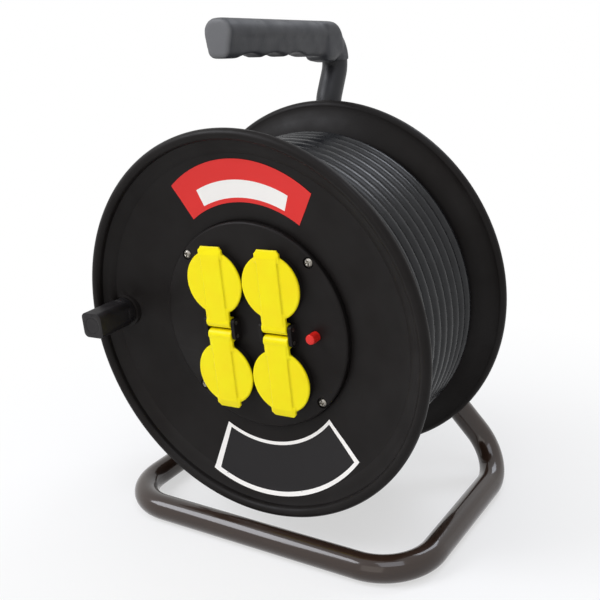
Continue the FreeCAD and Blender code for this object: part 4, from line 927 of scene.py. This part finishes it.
# Point that the lamps face, and each lamp's place in metres, power in watts, side in metres and tone
LAMP_TARGET = (0, 0, 0.18)
LAMPS = {
    "window_lamp": ((-1.05, -0.95, 1.35), 20, 0.9, "#F6F8FF"),
    "ceiling_lamp": ((0.6, -0.6, 1.9), 8, 1.0, "#EEF3FF"),
    "front_lamp": ((0.3, -2.2, 0.9), 5, 1.4, "#FFF8F0"),
    "back_lamp": ((0.4, 1.2, 1.7), 10, 0.8, "#EEF3FF"),
}


def lamp(name, place, power, size, tone):
    """Hang a soft square lamp that faces the reel."""
    data = bpy.data.lights.new(name, "AREA")
    data.energy = power
    data.size = size
    data.color = linear(tone)
    item = bpy.data.objects.new(name, data)
    item.location = place
    item.rotation_euler = (Vector(LAMP_TARGET) - Vector(place)).to_track_quat("-Z", "Y").to_euler()
    bpy.context.scene.collection.objects.link(item)


def seen_rays(tree):
    """Return 1 for rays from the camera, off a gloss or through glass, and 0 for rays that light a surface."""
    rays = add(tree, "ShaderNodeLightPath")
    seen = rays.outputs["Is Camera Ray"]
    for kind in ("Is Glossy Ray", "Is Transmission Ray"):
        seen = add(tree, "ShaderNodeMath", {0: seen, 1: rays.outputs[kind]}, operation="MAXIMUM").outputs[0]
    return seen


def floor_paper():
    """Matt white paper that fades into the white background away from the reel."""
    material, tree, shader = surface("floor_paper", linear("#F4F4F4"), 0.9)
    place = add(tree, "ShaderNodeTexCoord").outputs["Object"]
    far = add(tree, "ShaderNodeVectorMath", {0: place}, operation="LENGTH").outputs["Value"]
    fade = add(tree, "ShaderNodeMapRange", {
        "Value": far, "From Min": 0.15, "From Max": 0.45, "To Min": 0.58, "To Max": 1.0}).outputs["Result"]
    share = add(tree, "ShaderNodeMath", {0: fade, 1: seen_rays(tree)}, operation="MULTIPLY").outputs[0]
    white = add(tree, "ShaderNodeEmission", {"Strength": 1.0}).outputs[0]
    mix = add(tree, "ShaderNodeMixShader", {0: share, 1: shader.outputs[0], 2: white})
    tree.links.new(mix.outputs[0], tree.nodes["Material Output"].inputs["Surface"])
    return material


def studio_world():
    """White behind the reel, and a soft grey light from all round."""
    world = bpy.data.worlds.new("studio")
    world.use_nodes = True
    tree = world.node_tree
    background = tree.nodes["Background"]
    background.inputs["Color"].default_value = (1, 1, 1, 1)
    strength = add(tree, "ShaderNodeMapRange", {"Value": seen_rays(tree), "To Min": 0.4, "To Max": 1.0})
    tree.links.new(strength.outputs["Result"], background.inputs["Strength"])
    bpy.context.scene.world = world


class REEL_OT_stage(bpy.types.Operator):
    """Lay the floor, hang the lamps and set the camera where the photo was taken"""

    bl_idname = "reel.stage"
    bl_label = "Set the stage"

    def execute(self, context):
        scene = context.scene
        setting = scene.reel_stage
        work = bmesh.new()
        bmesh.ops.create_circle(work, cap_ends=True, segments=FLOOR_SIDES, radius=FLOOR_RADIUS)
        mesh = bpy.data.meshes.new("floor")
        work.to_mesh(mesh)
        work.free()
        mesh.materials.append(floor_paper())
        floor = bpy.data.objects.new("floor", mesh)
        scene.collection.objects.link(floor)
        studio_world()
        for name, values in LAMPS.items():
            lamp(name, *values)
        data = bpy.data.cameras.new("camera")
        data.lens = setting.lens
        data.sensor_width = SENSOR_WIDTH
        camera = bpy.data.objects.new("camera", data)
        yaw, pitch, roll = setting.camera_yaw, setting.camera_pitch, setting.camera_roll
        ahead = Vector((-math.sin(yaw) * math.cos(pitch), math.cos(yaw) * math.cos(pitch), -math.sin(pitch)))
        level = Vector((math.cos(yaw), math.sin(yaw), 0))
        upright = level.cross(ahead)
        right = level * math.cos(roll) + upright * math.sin(roll)
        up = upright * math.cos(roll) - level * math.sin(roll)
        camera.matrix_world = Matrix((right, up, -ahead)).transposed().to_4x4()
        camera.location = (setting.camera_across, setting.camera_depth, setting.camera_height)
        scene.collection.objects.link(camera)
        scene.camera = camera
        scene.view_settings.view_transform = "Standard"
        return {"FINISHED"}


class REEL_PT_panel(bpy.types.Panel):
    """The reel's steps in the sidebar"""

    bl_idname = "REEL_PT_panel"
    bl_label = "Cord reel"
    bl_space_type = "VIEW_3D"
    bl_region_type = "UI"
    bl_category = "Cord reel"

    def draw(self, context):
        for step in STEPS:
            self.layout.operator(step.bl_idname)
        for name, group in GROUPS.items():
            box = self.layout.box()
            for item in group.__annotations__:
                box.prop(getattr(context.scene, name), item)


STEPS = [
    REEL_OT_drum, REEL_OT_lids, REEL_OT_stand, REEL_OT_cord, REEL_OT_labels, REEL_OT_screws, REEL_OT_stage]
CLASSES = list(GROUPS.values()) + STEPS + [REEL_PT_panel]


def register():
    for item in CLASSES:
        bpy.utils.register_class(item)
    for name, group in GROUPS.items():
        setattr(bpy.types.Scene, name, bpy.props.PointerProperty(type=group))


def unregister():
    for name in GROUPS:
        delattr(bpy.types.Scene, name)
    for item in reversed(CLASSES):
        bpy.utils.unregister_class(item)


def main():
    register()
    bpy.ops.reel.drum()
    bpy.ops.reel.lids()
    bpy.ops.reel.stand()
    bpy.ops.reel.cord()
    bpy.ops.reel.labels()
    bpy.ops.reel.screws()
    bpy.ops.reel.stage()


if __name__ == "__main__":
    main()
